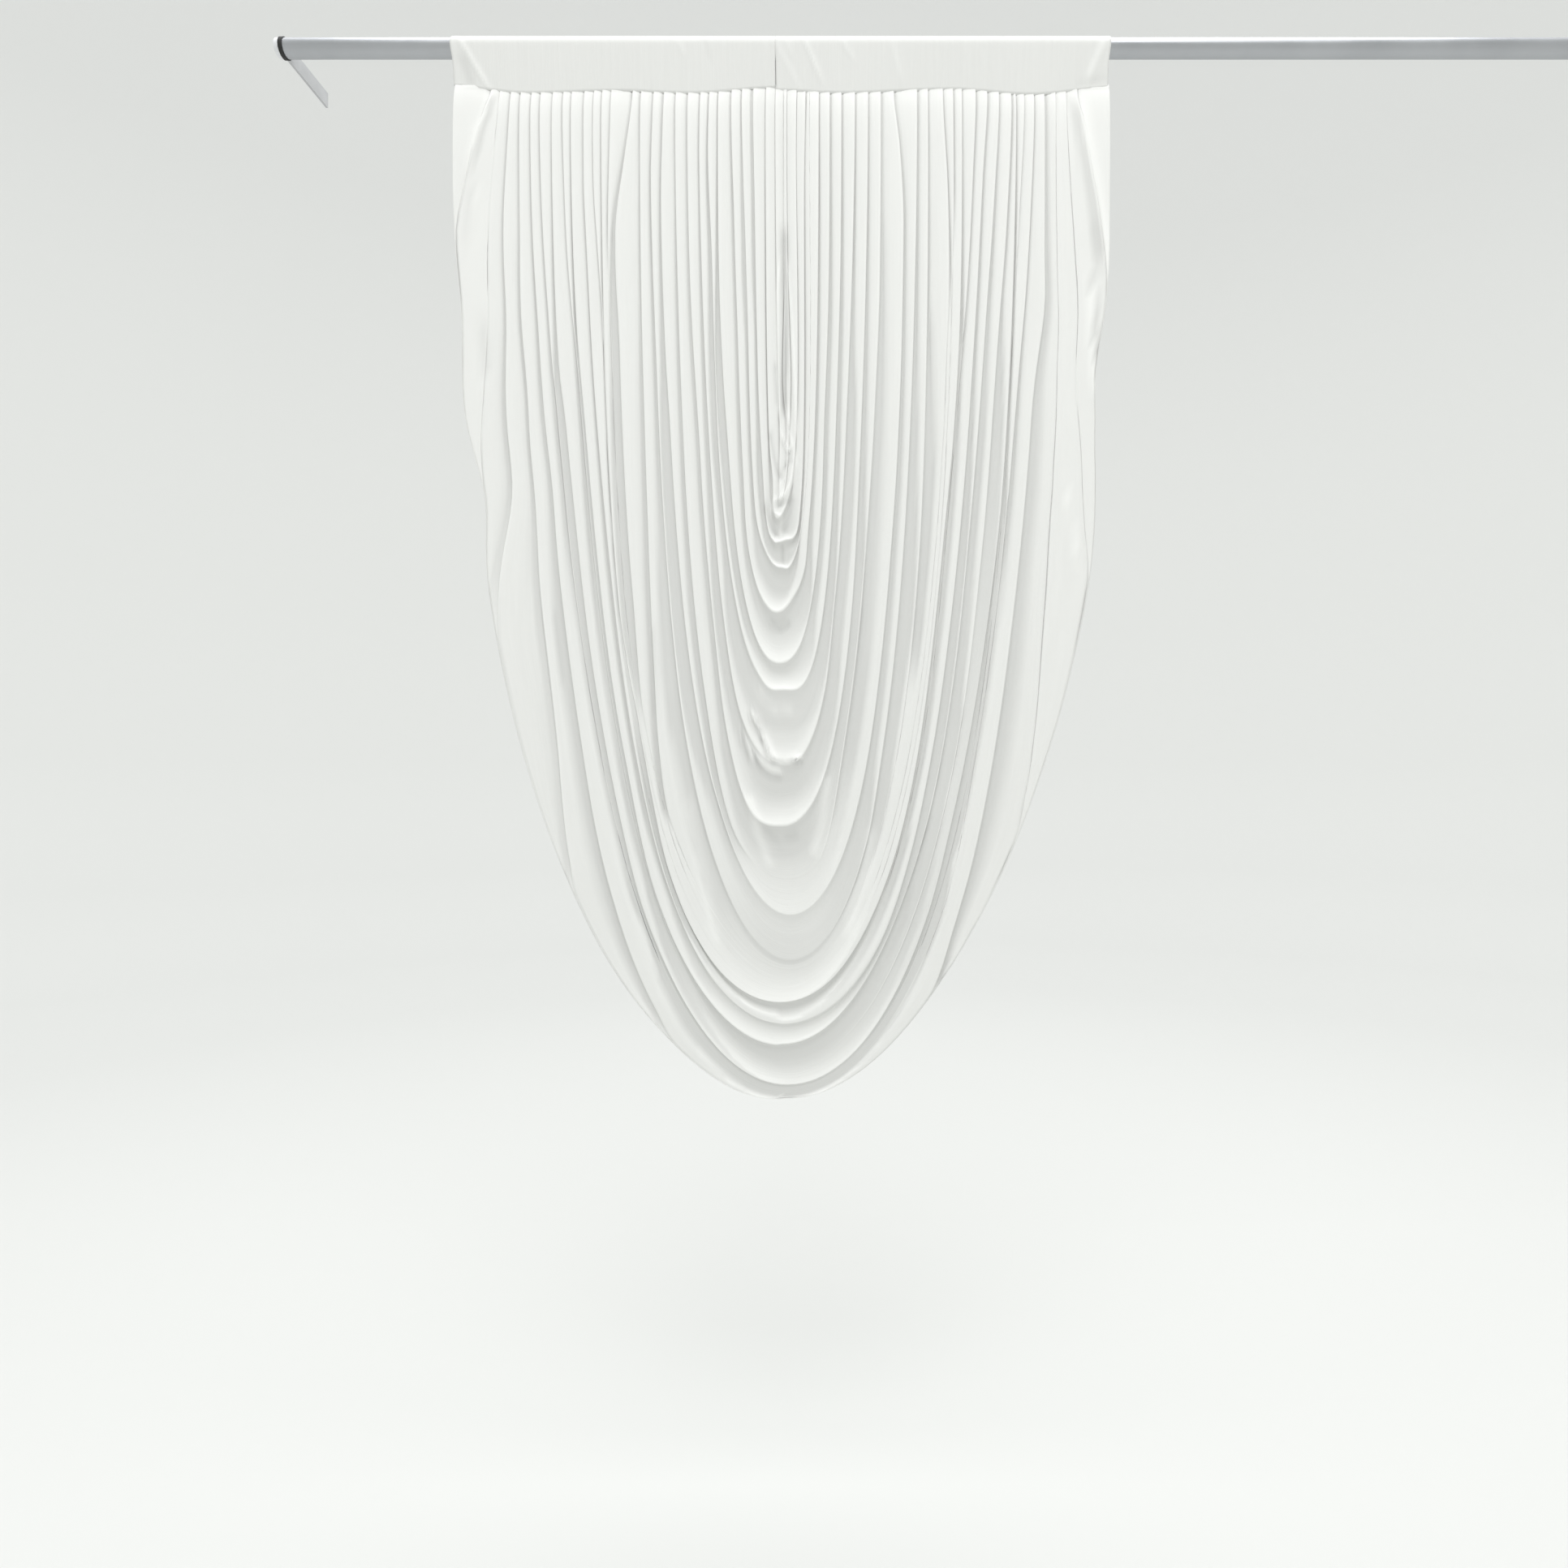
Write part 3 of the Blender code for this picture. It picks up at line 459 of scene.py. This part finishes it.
CORE_HOLLOW_SHARES = [0.33, 0.66, 0.9]
CORE_BAND_SHARES = [0.2, 0.4, 0.6, 0.8, 0.93]
HEM_SHARES = [0.985, 1.0]  # and two along the rolled hem
BAND_TILT = 0.4  # how far the flat band still slopes
BAND_CROWN = 0.3  # and how far it bows forward, millimetres
INNER_SHARES = [1.0, 0.4]  # columns on the free inner edge, folded in behind
INNER_REACH = 1.3  # how far it reaches, in pleats
INNER_FRONT, INNER_DEPTH = 1.5, 12.0  # how deep it starts and ends, in millimetres
LOW_TURN = 0.8  # depth just under an edge at the bottom, out of its step
LOW_POWER = 1.6  # how late it comes forward again past its hollow
DEEPEST_LEG, DEEPEST_LOW = 7.5, 10.0  # the deepest steps, in millimetres
OVERLAPS = 5  # how many pleats inwards still push a pleat back

# Painted light and shade in the legs: 1 a pressed edge's painted highlight, -2 a hollow's darkest painted
# shade.
EDGE_TONE = 0.9
BEHIND_TONE, AHEAD_TONE = -0.1, 0.35  # past a pleat's hollow, and just before the next edge
SHALLOW_TONE = 0.25  # there if the pleat is too shallow to show
HOLLOW_TONE = -1.0
# painted shade on the free inner edge, folded in behind
INNER_TONE = -1.5
EDGE_SHOWS, HOLLOW_SHOWS = 2.5, 5.0  # steps in millimetres that get an edge's painted highlight and a hollow's painted shade in full
FOLLOW_SLACK = 0.15  # how far a curve may swing past its knots, out of their difference

# Each crease with the heights of its points, to leave it out early where it isn't near.
crease_spans = [(crease, [down for x, down in crease.points]) for crease in CREASES]


def smooth(value):
    """An S-shaped step from 0 to 1."""
    value = min(max(value, 0.0), 1.0)
    return value * value * (3.0 - 2.0 * value)


def between(angle, span):
    """From 0 at the span's first angle round the U to 1 at its second one."""
    start, full = span
    return smooth((math.degrees(angle) - start) / (full - start))


def lower_edge(x):
    """How far below the bar's axis a heading ends, x from the middle of the swag, in millimetres."""
    return follow(LEFT_EDGE if x < SEAM else RIGHT_EDGE, x)


def mix(first, second, share):
    return first + (second - first) * share


def follow(curve, at):
    """The value at one place along a smooth curve of {place: value} knots."""
    knots = list(curve.items())
    if at <= knots[0][0]:
        return knots[0][1]
    for index in range(len(knots) - 1):
        start, end = knots[index], knots[index + 1]
        if at > end[0]:
            continue
        before, after = knots[max(index - 1, 0)], knots[min(index + 2, len(knots) - 1)]
        width = end[0] - start[0]
        leaving = (end[1] - before[1]) / (end[0] - before[0]) * width if before != start else 0.0
        arriving = (after[1] - start[1]) / (after[0] - start[0]) * width if after != end else 0.0
        share = (at - start[0]) / width
        low, high = min(start[1], end[1]), max(start[1], end[1])
        value = (
            (2 * share ** 3 - 3 * share ** 2 + 1) * start[1]
            + (share ** 3 - 2 * share ** 2 + share) * leaving
            + (3 * share ** 2 - 2 * share ** 3) * end[1]
            + (share ** 3 - share ** 2) * arriving
        )
        slack = FOLLOW_SLACK * (high - low)
        return min(max(value, low - slack), high + slack)
    return knots[-1][1]


def creases_at(x, down):
    """How far the creases lift the cloth here, in millimetres, and the painted highlight and shade they
    add.
    """
    lift, tone, here = 0.0, 0.0, Vector((x, down))
    for crease, downs in crease_spans:
        reach = crease.width * CREASE_REACH
        if not min(downs) - reach < down < max(downs) + reach:
            continue
        apart, along, count = None, 0.0, len(crease.points) - 1
        for index in range(count):
            start, end = Vector(crease.points[index]), Vector(crease.points[index + 1])
            run = end - start
            share = min(max((here - start).dot(run) / run.length_squared, 0.0), 1.0)
            away = here - start.lerp(end, share)
            if apart is None or away.length < apart:
                apart, along = away.length, (index + share) / count
                side = math.copysign(1.0, run.y * away.x - run.x * away.y)
        if apart > reach or not 0.0 < along < 1.0:
            continue
        fade = smooth(along / CREASE_END) * smooth((1.0 - along) / CREASE_END)
        width = crease.width
        if crease.side:
            width *= SHARP_SIDE if side == crease.side else SOFT_SIDE
        raised = crease.height * math.exp(-(CREASE_CREST * apart / width) ** 2) * fade
        lift += raised
        # painted highlight on a raised crease, painted shade in a dent
        tone += raised * CREASE_TONE
        # painted shade on the side that drops away
        if side == crease.side:
            away = apart / crease.width
            tone -= SHADE * fade * (smooth(away * SHADE_RISE) * smooth(SHADE_END - away))
    return lift, tone


def fold_point(fold, angle, side):
    """A point of a fold's edge, in millimetres from the centre line and below the seam line."""
    half, swell = (fold.left, fold.left_swell) if side < 0 else (fold.right, fold.right_swell)
    down = math.sin(angle)
    out = (half + swell * down * down) * math.cos(angle)
    return side * out + fold.drift * down ** 3, fold.drop * down


def hem_point(angle, side):
    """The hem's outline: a half ellipse with swelling legs and the waves of its edge."""
    down = math.sin(angle)
    half = HALF_WIDTH + HEM_SWELL[side] * 4.0 * down * down * (1.0 - down * down)
    out = half * math.cos(angle)
    for wave in EDGE_WAVES:
        if side == wave.side:
            apart = (HEM_DROP * down - wave.down) / wave.reach
            fade = smooth(EDGE_WAVE_END * math.cos(angle))
            out += wave.shift * math.exp(-apart * apart) * fade
    return side * out + HEM_DRIFT * down ** 3, HEM_DROP * down


def flat_point(place, angle, side):
    """A place counted in pleats, as (x, down) in millimetres."""
    if place < LAST:
        index = max(int(place), 0)
        inner, outer = (fold_point(FOLDS[number], angle, side) for number in (index, index + 1))
        share = place - index
    else:
        inner, outer = fold_point(FOLDS[LAST], angle, side), hem_point(angle, side)
        share = (place - LAST) / OUTER_PLACES
    return mix(inner[0], outer[0], share), mix(inner[1], outer[1], share)


# One row a pleat at one angle round the U: its edge's place, the hollow behind it, how soon the
# cloth comes forward past that, how deep it is, how far out its step reaches at the bottom and how
# much of that is its hollow there.
Section = namedtuple("Section", "place hollow fall step reach low_hollow")


def sections(angle, side):
    """Every pleat's section at this angle round the U, from the middle outwards, and the hem's."""
    degrees = math.degrees(angle)
    pleats = LEFT_PLEATS if side < 0 else RIGHT_PLEATS
    places = []
    for pleat in pleats:
        place = follow(pleat.place, degrees)
        if places:
            place = max(place, places[-1] + CLOSEST)
        places.append(place)
    hem = follow(pleats[HEM].place, degrees)
    for number, place in enumerate(places):
        places[number] = min(place, hem - CLOSEST_AT_HEM * (HEM - number))
    found = []
    for number, pleat in enumerate(pleats[:HEM]):
        place, after = places[number], places[number + 1]
        if number <= LAST:
            fold = FOLDS[number]
            leg = fold.left_step if side < 0 else fold.right_step
            low, spread = fold.low_step, fold.spread
        else:
            leg = OUTER_STEPS[side][number - LAST - 1]
            low, spread = 0.0, 1.0
        upper = mix(HEADING_PLEAT, leg, between(angle, LEG_STEP))
        upper = min(upper * follow(pleat.strength, degrees), DEEPEST_LEG)
        step = mix(upper, min(low, DEEPEST_LOW), between(angle, LOW_STEP))
        step *= smooth((hem - place) / RUN_OFF)
        wide = 1.0 + (spread - 1.0) * between(angle, SPREADING)
        hollow, fall = follow(pleat.hollow, degrees), follow(FALL, degrees)
        if number < INNER_FOLDS:
            fall *= INNER_FALL
        wider = smooth((WIDEST - hollow) / WIDEST_FADE) * smooth((number - INNER_FOLDS) / WIDEN_FOLDS)
        hollow *= mix(1.0, follow(WIDEN, degrees), wider)
        low_hollow = lips[number].hollow if number in lips else PLAIN_HOLLOW
        found.append(Section(place, hollow, fall, step, (after - place) * wide, low_hollow))
    found.append(Section(hem, 0.0, 1.0, 0.0, 1.0, PLAIN_HOLLOW))
    return found


def tooth(section, apart, low):
    """How far back the cloth lies past a pleat's edge, from 1 in its hollow to 0 at the next."""
    share = apart / section.reach
    fall = smooth((apart - section.hollow) / section.fall)
    leg = 1.0 - fall
    if share < 1.0:
        leg += fall * BAND_TILT * (1.0 - share)
    if share < section.low_hollow:
        bottom = mix(LOW_TURN, 1.0, smooth(share / section.low_hollow))
    else:
        rise = (share - section.low_hollow) / (1.0 - section.low_hollow)
        bottom = 1.0 - min(rise, 1.0) ** LOW_POWER
    return mix(leg, bottom, low)


def tone_at(found, column, place, low):
    """The painted light and shade on the cloth at one of the sheet's columns, low 1 at the bottom of the
    U.
    """
    index, role, share = column
    if role == "inner":
        return INNER_TONE
    own, after = found[index], found[min(index + 1, HEM)]
    pressed = role == "turn" and share == 0
    shown = min(own.step / EDGE_SHOWS, 1.0)
    if pressed:
        leg = EDGE_TONE * shown
    else:
        hollow = min(own.step / HOLLOW_SHOWS, 1.0) if role == "turn" else 0.0
        for section in found[max(index - OVERLAPS, 0):index + 1]:
            near = 1.0 - smooth((place - section.place - section.hollow) / section.fall)
            hollow = max(hollow, near * min(section.step / HOLLOW_SHOWS, 1.0))
        along = (place - own.place) / (after.place - own.place)
        start = mix(SHALLOW_TONE, BEHIND_TONE, shown)
        end = mix(SHALLOW_TONE, AHEAD_TONE, min(after.step / EDGE_SHOWS, 1.0))
        leg = mix(mix(start, end, min(along, 1.0)), HOLLOW_TONE, hollow)
    number = index
    while number not in lips:
        number -= 1
    over = (place - found[number].place) / found[number].reach
    lip = lips[number]
    if pressed and index in lips and lip.hollow > DEEP_LIP:
        bottom = 1.0
    elif over > 1.0:
        bottom = PAST_LIPS
    elif over < lip.hollow:
        bottom = lip.tone
    else:
        bottom = mix(lip.past, 1.0, ((over - lip.hollow) / (1.0 - lip.hollow)) ** LIP_RISE)
    return mix(leg, bottom, low)


def column_place(found, column, low):
    """The place of one of the sheet's columns, counted in pleats."""
    index, role, share = column
    if role == "inner":
        return found[0].place - INNER_REACH * share
    start, end = found[index].place, found[index + 1].place
    width = end - start
    turn = TURN_BACK[share if role == "turn" else -1]
    turned = width * mix(turn.across, turn.low_across, low)
    if role == "turn":
        return start + turned
    rise = min(found[index].hollow + found[index].fall, MOST_RISE * width)
    rise = max(rise, turned + LEAST_RISE * width)
    if role == "hollow":
        return start + mix(turned, rise, share)
    return mix(start + rise, end, share)


def swag_point(found, column, angle, side, tuck):
    """The sheet's middle at one of its columns, as (x, y, z) in metres, and the painted light and shade
    there.
    """
    index, role, share = column
    low = between(angle, LOW_STEP)
    place = column_place(found, column, low)
    own, depth = found[index], 0.0
    for section in found[max(index - OVERLAPS, 0):index]:
        depth += section.step * tooth(section, place - section.place, low)
    if role == "inner":
        depth = mix(INNER_FRONT, INNER_DEPTH, share)
    elif role == "turn":
        depth += own.step * TURN_BACK[share].depth * mix(1.0, LOW_TURN, low)
    else:
        depth += own.step * tooth(own, place - own.place, low)
    if role == "band":
        depth -= BAND_CROWN * math.sin(math.pi * share) * (1.0 - low)
    if role == "hem":
        depth -= HEM_ROLL
    x, down = flat_point(place, angle, side)
    down -= tuck
    lift, crease_tone = creases_at(x, down)
    depth -= lift
    below = max(down + SEAM_DROP / MM - lower_edge(x), 0.0)
    depth *= mix(PRESSED_PLEAT / HEADING_PLEAT, 1.0, smooth(below / PLEAT_OPENS))
    front = BULGE * (1.0 - math.exp(-below / BULGE_LENGTH))
    front += FORWARD_SAG * smooth(down / FORWARD_SAG_FULL)
    point = (SWAG_CENTRE + x * MM, PLEATED_EDGE + (depth - front) * MM, -SEAM_DROP - down * MM)
    return Vector(point), tone_at(found, column, place, low) + crease_tone


# Every column of points across the U, as (pleat, which part of its section, how far across that
# part), or for a turn, the number of its point in TURN_BACK.
columns = [(0, "inner", share) for share in INNER_SHARES]
for index in range(HEM):
    core = index < CORE_FOLDS
    columns += [(index, "turn", number) for number in range(len(TURN_BACK))]
    columns += [(index, "hollow", share) for share in (CORE_HOLLOW_SHARES if core else HOLLOW_SHARES)]
    columns += [(index, "band", share) for share in (CORE_BAND_SHARES if core else BAND_SHARES)]
columns += [(HEM - 1, "hem", share) for share in HEM_SHARES]
# Every row of points round the U, as (how far up in the heading, side, angle).
leg = [(tuck, 0.0) for tuck in TUCKS] + [(0.0, math.radians(angle)) for angle in LEG_DEGREES]
stations = [(tuck, -1, angle) for tuck, angle in leg] + [(0.0, 1, math.pi / 2)]
stations += [(tuck, 1, angle) for tuck, angle in reversed(leg)]
WIDTH_ROW = 5  # the cloth's width is measured a fifth of the way along it


def smooth_object(name, shape):
    """Put a bmesh in the scene as an object, shaded smooth."""
    mesh = bpy.data.meshes.new(name)
    shape.to_mesh(mesh)
    shape.free()
    mesh.shade_smooth()
    thing = bpy.data.objects.new(name, mesh)
    bpy.context.scene.collection.objects.link(thing)
    return thing


def grid_sheet(name, rows, thickness, tones):
    """A thin sheet through rows of points, with a UV map in metres along and across its cloth.

    tones, one a point, are the painted light and shade; they go to the attribute fold_tone, which
    the knit's colour reads.
    """
    across, along = len(rows[0]) - 1, len(rows) - 1
    sheet = bmesh.new()
    layer = sheet.loops.layers.uv.new("cloth")
    tone = sheet.verts.layers.float.new("fold_tone")
    bmesh.ops.create_grid(sheet, x_segments=across, y_segments=along, size=0.5)
    place = {}
    for vertex in sheet.verts:
        place[vertex] = round((vertex.co.y + 0.5) * along), round((vertex.co.x + 0.5) * across)
    for vertex, (row, column) in place.items():
        vertex.co = rows[row][column]
        vertex[tone] = tones[row][column]
    measured = rows[along // WIDTH_ROW]
    width = [0.0]
    for first, second in zip(measured, measured[1:]):
        width.append(width[-1] + (second - first).length)
    length = [[0.0] * len(rows[0])]
    for before, after in zip(rows, rows[1:]):
        length.append([done + (b - a).length for done, a, b in zip(length[-1], before, after)])
    for face in sheet.faces:
        for loop in face.loops:
            row, column = place[loop.vert]
            loop[layer].uv = (width[column], length[row][column])
    bmesh.ops.recalc_face_normals(sheet, faces=sheet.faces)
    thing = smooth_object(name, sheet)
    shell = thing.modifiers.new("thickness", "SOLIDIFY")
    shell.thickness = thickness
    shell.offset = 0.0
    return thing


points, tones = [], []
for tuck, side, angle in stations:
    found = sections(angle, side)
    row = [swag_point(found, column, angle, side, tuck) for column in columns]
    points.append([point for point, tone in row])
    tones.append([tone for point, tone in row])
swag = grid_sheet("swag_cloth", points, CLOTH, tones)

RIB = 2.4 * MM  # spacing of the knit's wales, drawn at twice their real pitch
WAVE_PERIOD = 0.314  # spacing of a wave texture's bands at a scale of 1
PUCKER = 7.0 * MM  # width of the faint puckers that run down the cloth
PUCKER_LENGTH = 160.0 * MM

knit, tree, shader = new_material("white_polyester_knit", "#F3F3F2", 0.78, Sheen_Weight=0.12)
place = add_node(tree, "UVMap", {"uv_map": "cloth"})
drawn = add_node(tree, "Mapping", {"Scale": (1.0 / PUCKER, 1.0 / PUCKER_LENGTH, 1.0)}, {"Vector": place})
pucker = add_node(tree, "TexNoise", {"Scale": 1.0, "Detail": 3.0, "Roughness": 0.55}, {"Vector": drawn})
rib_wave = {
    "wave_type": "BANDS", "bands_direction": "X", "Scale": WAVE_PERIOD / RIB, "Distortion": 0.4,
    "Detail": 1.0,
}
wale = add_node(tree, "TexWave", rib_wave, {"Vector": place}).outputs["Fac"]
shade = add_node(tree, "ValToRGB", sources={"Fac": pucker})
for element, position, colour in zip(shade.color_ramp.elements, (0.25, 0.75), ("#F8F8F7", "#FBFBFA")):
    element.position = position
    element.color = linear(colour)
# The folds' painted light and shade: painted shade in hollows, under lips and in the slit, painted
# highlights on pressed edges, lips and raised creases.
fold = add_node(tree, "Attribute", {"attribute_name": "fold_tone"}).outputs["Fac"]
part = add_node(tree, "MapRange", {"From Min": -2.0, "From Max": 1.0}, {"Value": fold})
painted_fold_shading = add_node(tree, "ValToRGB", sources={"Fac": part})
painted_fold_shading.color_ramp.elements[0].color = linear("#D2D2D1")
painted_fold_shading.color_ramp.elements[1].color = linear("#F9F9F8")
for position, colour in ((1.0 / 3.0, "#DDDDDC"), (2.0 / 3.0, "#ECECEB")):
    painted_fold_shading.color_ramp.elements.new(position).color = linear(colour)
colour = add_node(
    tree, "MixRGB", {"blend_type": "MULTIPLY", "Fac": 1.0}, {"Color1": painted_fold_shading, "Color2": shade}
)
pressed = add_node(tree, "Bump", {"Strength": 0.35, "Distance": 1.2 * MM}, {"Height": pucker})
bump = add_node(
    tree, "Bump", {"Strength": 0.12, "Distance": 0.2 * MM}, {"Height": wale, "Normal": pressed}
)
link(tree, shader, {"Base Color": colour, "Normal": bump})

swag.data.materials.append(knit)
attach(swag, "root")
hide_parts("swag")

# ---------------------------------------------------------------- headings
# Two bands of the same knit, folded over the crossbar and sewn shut below it over the pleats, so
# that each is a pocket for the bar. They hang from it in a V, drawn a little wider at the bar, and
# the pull of the cloth has left short creases down from its top.

HEADING_CLOTH = 0.9 * MM  # the knit is stretched thinner over the bar
FRONT_FOOT = -8.0 * MM  # the front and back lower edges, from the bar's axis along Y
BACK_FOOT = 4.4 * MM
POCKET_RADIUS = ROD_RADIUS + 1.4 * MM  # to the middle of the cloth, which clears the bar
BAND_ARC_STEPS = 22  # faces round the bar,
FACE_STEPS = 14  # down each side
HEADING_STEPS = 150  # and along it
HEADING_TONE = -0.1  # painted shade: they lie flat, painted a little greyer than the pleats' fronts
HEADING_CREASE_TONE = 0.35  # and the painted highlight for a millimetre of a crease
FLARE_DROP = 45.0  # how far below the bar's axis their ends still flare out
FLARE_STEEPNESS = 12.0  # over the last twelfth of their half width
PULL_OVERRUN = 0.3  # how far a crease runs on past its ends, out of its length
PULL_FADE_IN, PULL_FADE_OUT = 0.5, 0.6
PULL_CREST = 2.0  # how narrow its crest is

# One row a heading: its ends in millimetres from the middle of the swag, its lower edge, and how
# much wider each end is at the bar.
HEADINGS = table("name start end edge left_flare right_flare", [
    ("left", -678.0, -14.0, LEFT_EDGE, 4.0, 1.0),
    ("right", -13.0, 672.0, RIGHT_EDGE, 1.0, 4.0),
])

# One row a crease in a heading's face, from its top to its bottom end, in millimetres from the
# middle of the swag and below the bar's axis. height is how far it stands out, or in below 0.
HEADING_CREASES = table("start end width height", [
    ((-664, -8), (-604, 92), 8.0, 2.6),
    ((-660, 30), (-640, 90), 22.0, -1.8),
    ((-212, 0), (-200, 26), 7.0, 1.0),
    ((-160, -4), (-146, 40), 9.0, -0.7),
    ((12, 0), (20, 26), 6.0, 1.0),
    ((-8, 10), (34, 84), 9.0, 1.0),
    ((46, -4), (82, 74), 7.0, 2.2),
    ((126, 0), (150, 36), 8.0, 1.2),
    ((226, 0), (246, 70), 8.0, 1.0),
    ((662, -4), (628, 78), 14.0, 2.0),
    ((612, 82), (664, 70), 16.0, -1.0),
])


def tangent_turn(foot, drop, radius):
    """How far round the bar a face leaves it, for a lower edge this far out and down."""
    return math.pi + math.atan2(drop, foot) - math.acos(radius / math.hypot(foot, drop))


def pull_lift(x, drop):
    """How far the creases lift the heading's face here, in metres."""
    lift = 0.0
    for crease in HEADING_CREASES:
        run = Vector(crease.end) - Vector(crease.start)
        from_top = Vector((x, drop)) - Vector(crease.start)
        along = from_top.dot(run) / run.length_squared
        if -PULL_OVERRUN < along < 1.0 + PULL_OVERRUN:
            apart = abs(from_top.cross(run)) / run.length
            fade = smooth((along + PULL_OVERRUN) / PULL_FADE_IN)
            fade *= smooth((1.0 + PULL_OVERRUN - along) / PULL_FADE_OUT)
            lift += crease.height * MM * math.exp(-(PULL_CREST * apart / crease.width) ** 2) * fade
    return lift


def round_bar(turn):
    """A point of the pocket round the bar, this far round from its rear, as (forward, up)."""
    return Vector((-POCKET_RADIUS * math.cos(turn), POCKET_RADIUS * math.sin(turn)))


for heading in HEADINGS:
    rows, tones = [], []
    for number in range(HEADING_STEPS + 1):
        x = mix(heading.start, heading.end, number / HEADING_STEPS)
        drop = follow(heading.edge, x) * MM
        front_turn = math.pi - tangent_turn(-FRONT_FOOT, drop, POCKET_RADIUS)
        back_turn = tangent_turn(BACK_FOOT, drop, POCKET_RADIUS)
        front, back = Vector((FRONT_FOOT, -drop)), Vector((BACK_FOOT, -drop))
        section = [front.lerp(round_bar(front_turn), step / FACE_STEPS) for step in range(FACE_STEPS)]
        for step in range(BAND_ARC_STEPS + 1):
            section.append(round_bar(mix(front_turn, back_turn, step / BAND_ARC_STEPS)))
        for step in range(FACE_STEPS):
            section.append(round_bar(back_turn).lerp(back, (step + 1) / FACE_STEPS))
        row, row_tones = [], []
        for point in section:
            lift = pull_lift(x, -point.y / MM) if point.x < 0.0 else 0.0
            # painted light and shade on the face: a little greyer, lighter on raised creases
            row_tones.append(HEADING_TONE + HEADING_CREASE_TONE * lift / MM)
            near = (number / HEADING_STEPS - 0.5) * 2.0
            flare = heading.right_flare if near > 0.0 else -heading.left_flare
            flare *= smooth(abs(near) * FLARE_STEEPNESS - (FLARE_STEEPNESS - 1.0))
            flare *= smooth(1.0 - (-point.y / MM) / FLARE_DROP)
            row.append(Vector((SWAG_CENTRE + (x + flare) * MM, -ARM_REACH + point.x - lift, point.y)))
        rows.append(row)
        tones.append(row_tones)
    rows, tones = list(zip(*rows)), list(zip(*tones))
    cloth = grid_sheet("heading_" + heading.name + "_cloth", rows, HEADING_CLOTH, tones)
    cloth.data.materials.append(knit)
    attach(cloth, "root")
    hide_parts("heading_" + heading.name)

# ---------------------------------------------------------------- studio
# Not part of the object: a pale seamless floor that curves up all round, two soft lights overhead
# and a white sky.

FLOOR = -2.94
GLOW = 0.35  # it is lit evenly from behind
BOWL_CENTRE = 1.2  # along X
# its section, as (distance from the centre, height above the floor)
BOWL = [(0.0, 0.0), (5.0, 0.0), (6.0, 0.15), (6.8, 0.7), (7.2, 1.6), (7.3, 2.8), (7.3, 14.0)]

paper = new_material(
    "pale_studio_paper", "#B5B6B4", 0.9, Emission_Color=linear("#F3F4F2"), Emission_Strength=GLOW
)[0]
turned = bmesh.new()
ring = [turned.verts.new((BOWL_CENTRE + radius, 0.0, FLOOR + height)) for radius, height in BOWL]
edges = [turned.edges.new(pair) for pair in zip(ring, ring[1:])]
bmesh.ops.spin(
    turned, geom=ring + edges, cent=(BOWL_CENTRE, 0.0, 0.0), axis=(0.0, 0.0, 1.0), angle=math.tau,
    steps=96, use_merge=True,
)
bmesh.ops.remove_doubles(turned, verts=turned.verts, dist=0.1 * MM)
bmesh.ops.recalc_face_normals(turned, faces=turned.faces)
studio = smooth_object("studio_floor", turned)
studio.data.materials.append(paper)


def soft_light(name, place, target, width, height, power):
    """A large soft box that looks at the target, its power in watts."""
    lamp = bpy.data.lights.new(name, "AREA")
    lamp.shape = "RECTANGLE"
    lamp.size = width
    lamp.size_y = height
    lamp.energy = power
    light = bpy.data.objects.new(name, lamp)
    light.location = place
    light.rotation_euler = (Vector(target) - Vector(place)).to_track_quat("-Z", "Y").to_euler()
    light.visible_camera = False
    bpy.context.scene.collection.objects.link(light)


soft_light("overhead_box", (1.3, -3.6, 4.6), (1.1, -0.2, -1.0), width=4.0, height=3.0, power=144.0)
soft_light("overhead_strip", (1.3, 0.2, 3.3), (1.3, 0.21, -0.5), width=5.0, height=3.2, power=170.0)

world = bpy.data.worlds.new("white_sky")
bpy.context.scene.world = world
world.use_nodes = True
sky = world.node_tree.nodes["Background"]
sky.inputs["Color"].default_value = linear("#FAFCFF")
sky.inputs["Strength"].default_value = 1.0

CAMERA = (1.233, -2.325, -1.524)  # a level camera 1.42 m above the floor
LENS = 23.93  # millimetres, as the sensor is
SENSOR = 36.0
SHIFT = -0.0611

camera_data = bpy.data.cameras.new("camera")
camera_data.lens = LENS
camera_data.sensor_width = SENSOR
camera_data.shift_x = SHIFT
camera = bpy.data.objects.new("camera", camera_data)
camera.location = CAMERA
camera.rotation_euler = (math.pi / 2, 0.0, 0.0)
bpy.context.scene.collection.objects.link(camera)
bpy.context.scene.camera = camera
bpy.context.scene.view_settings.view_transform = "Standard"
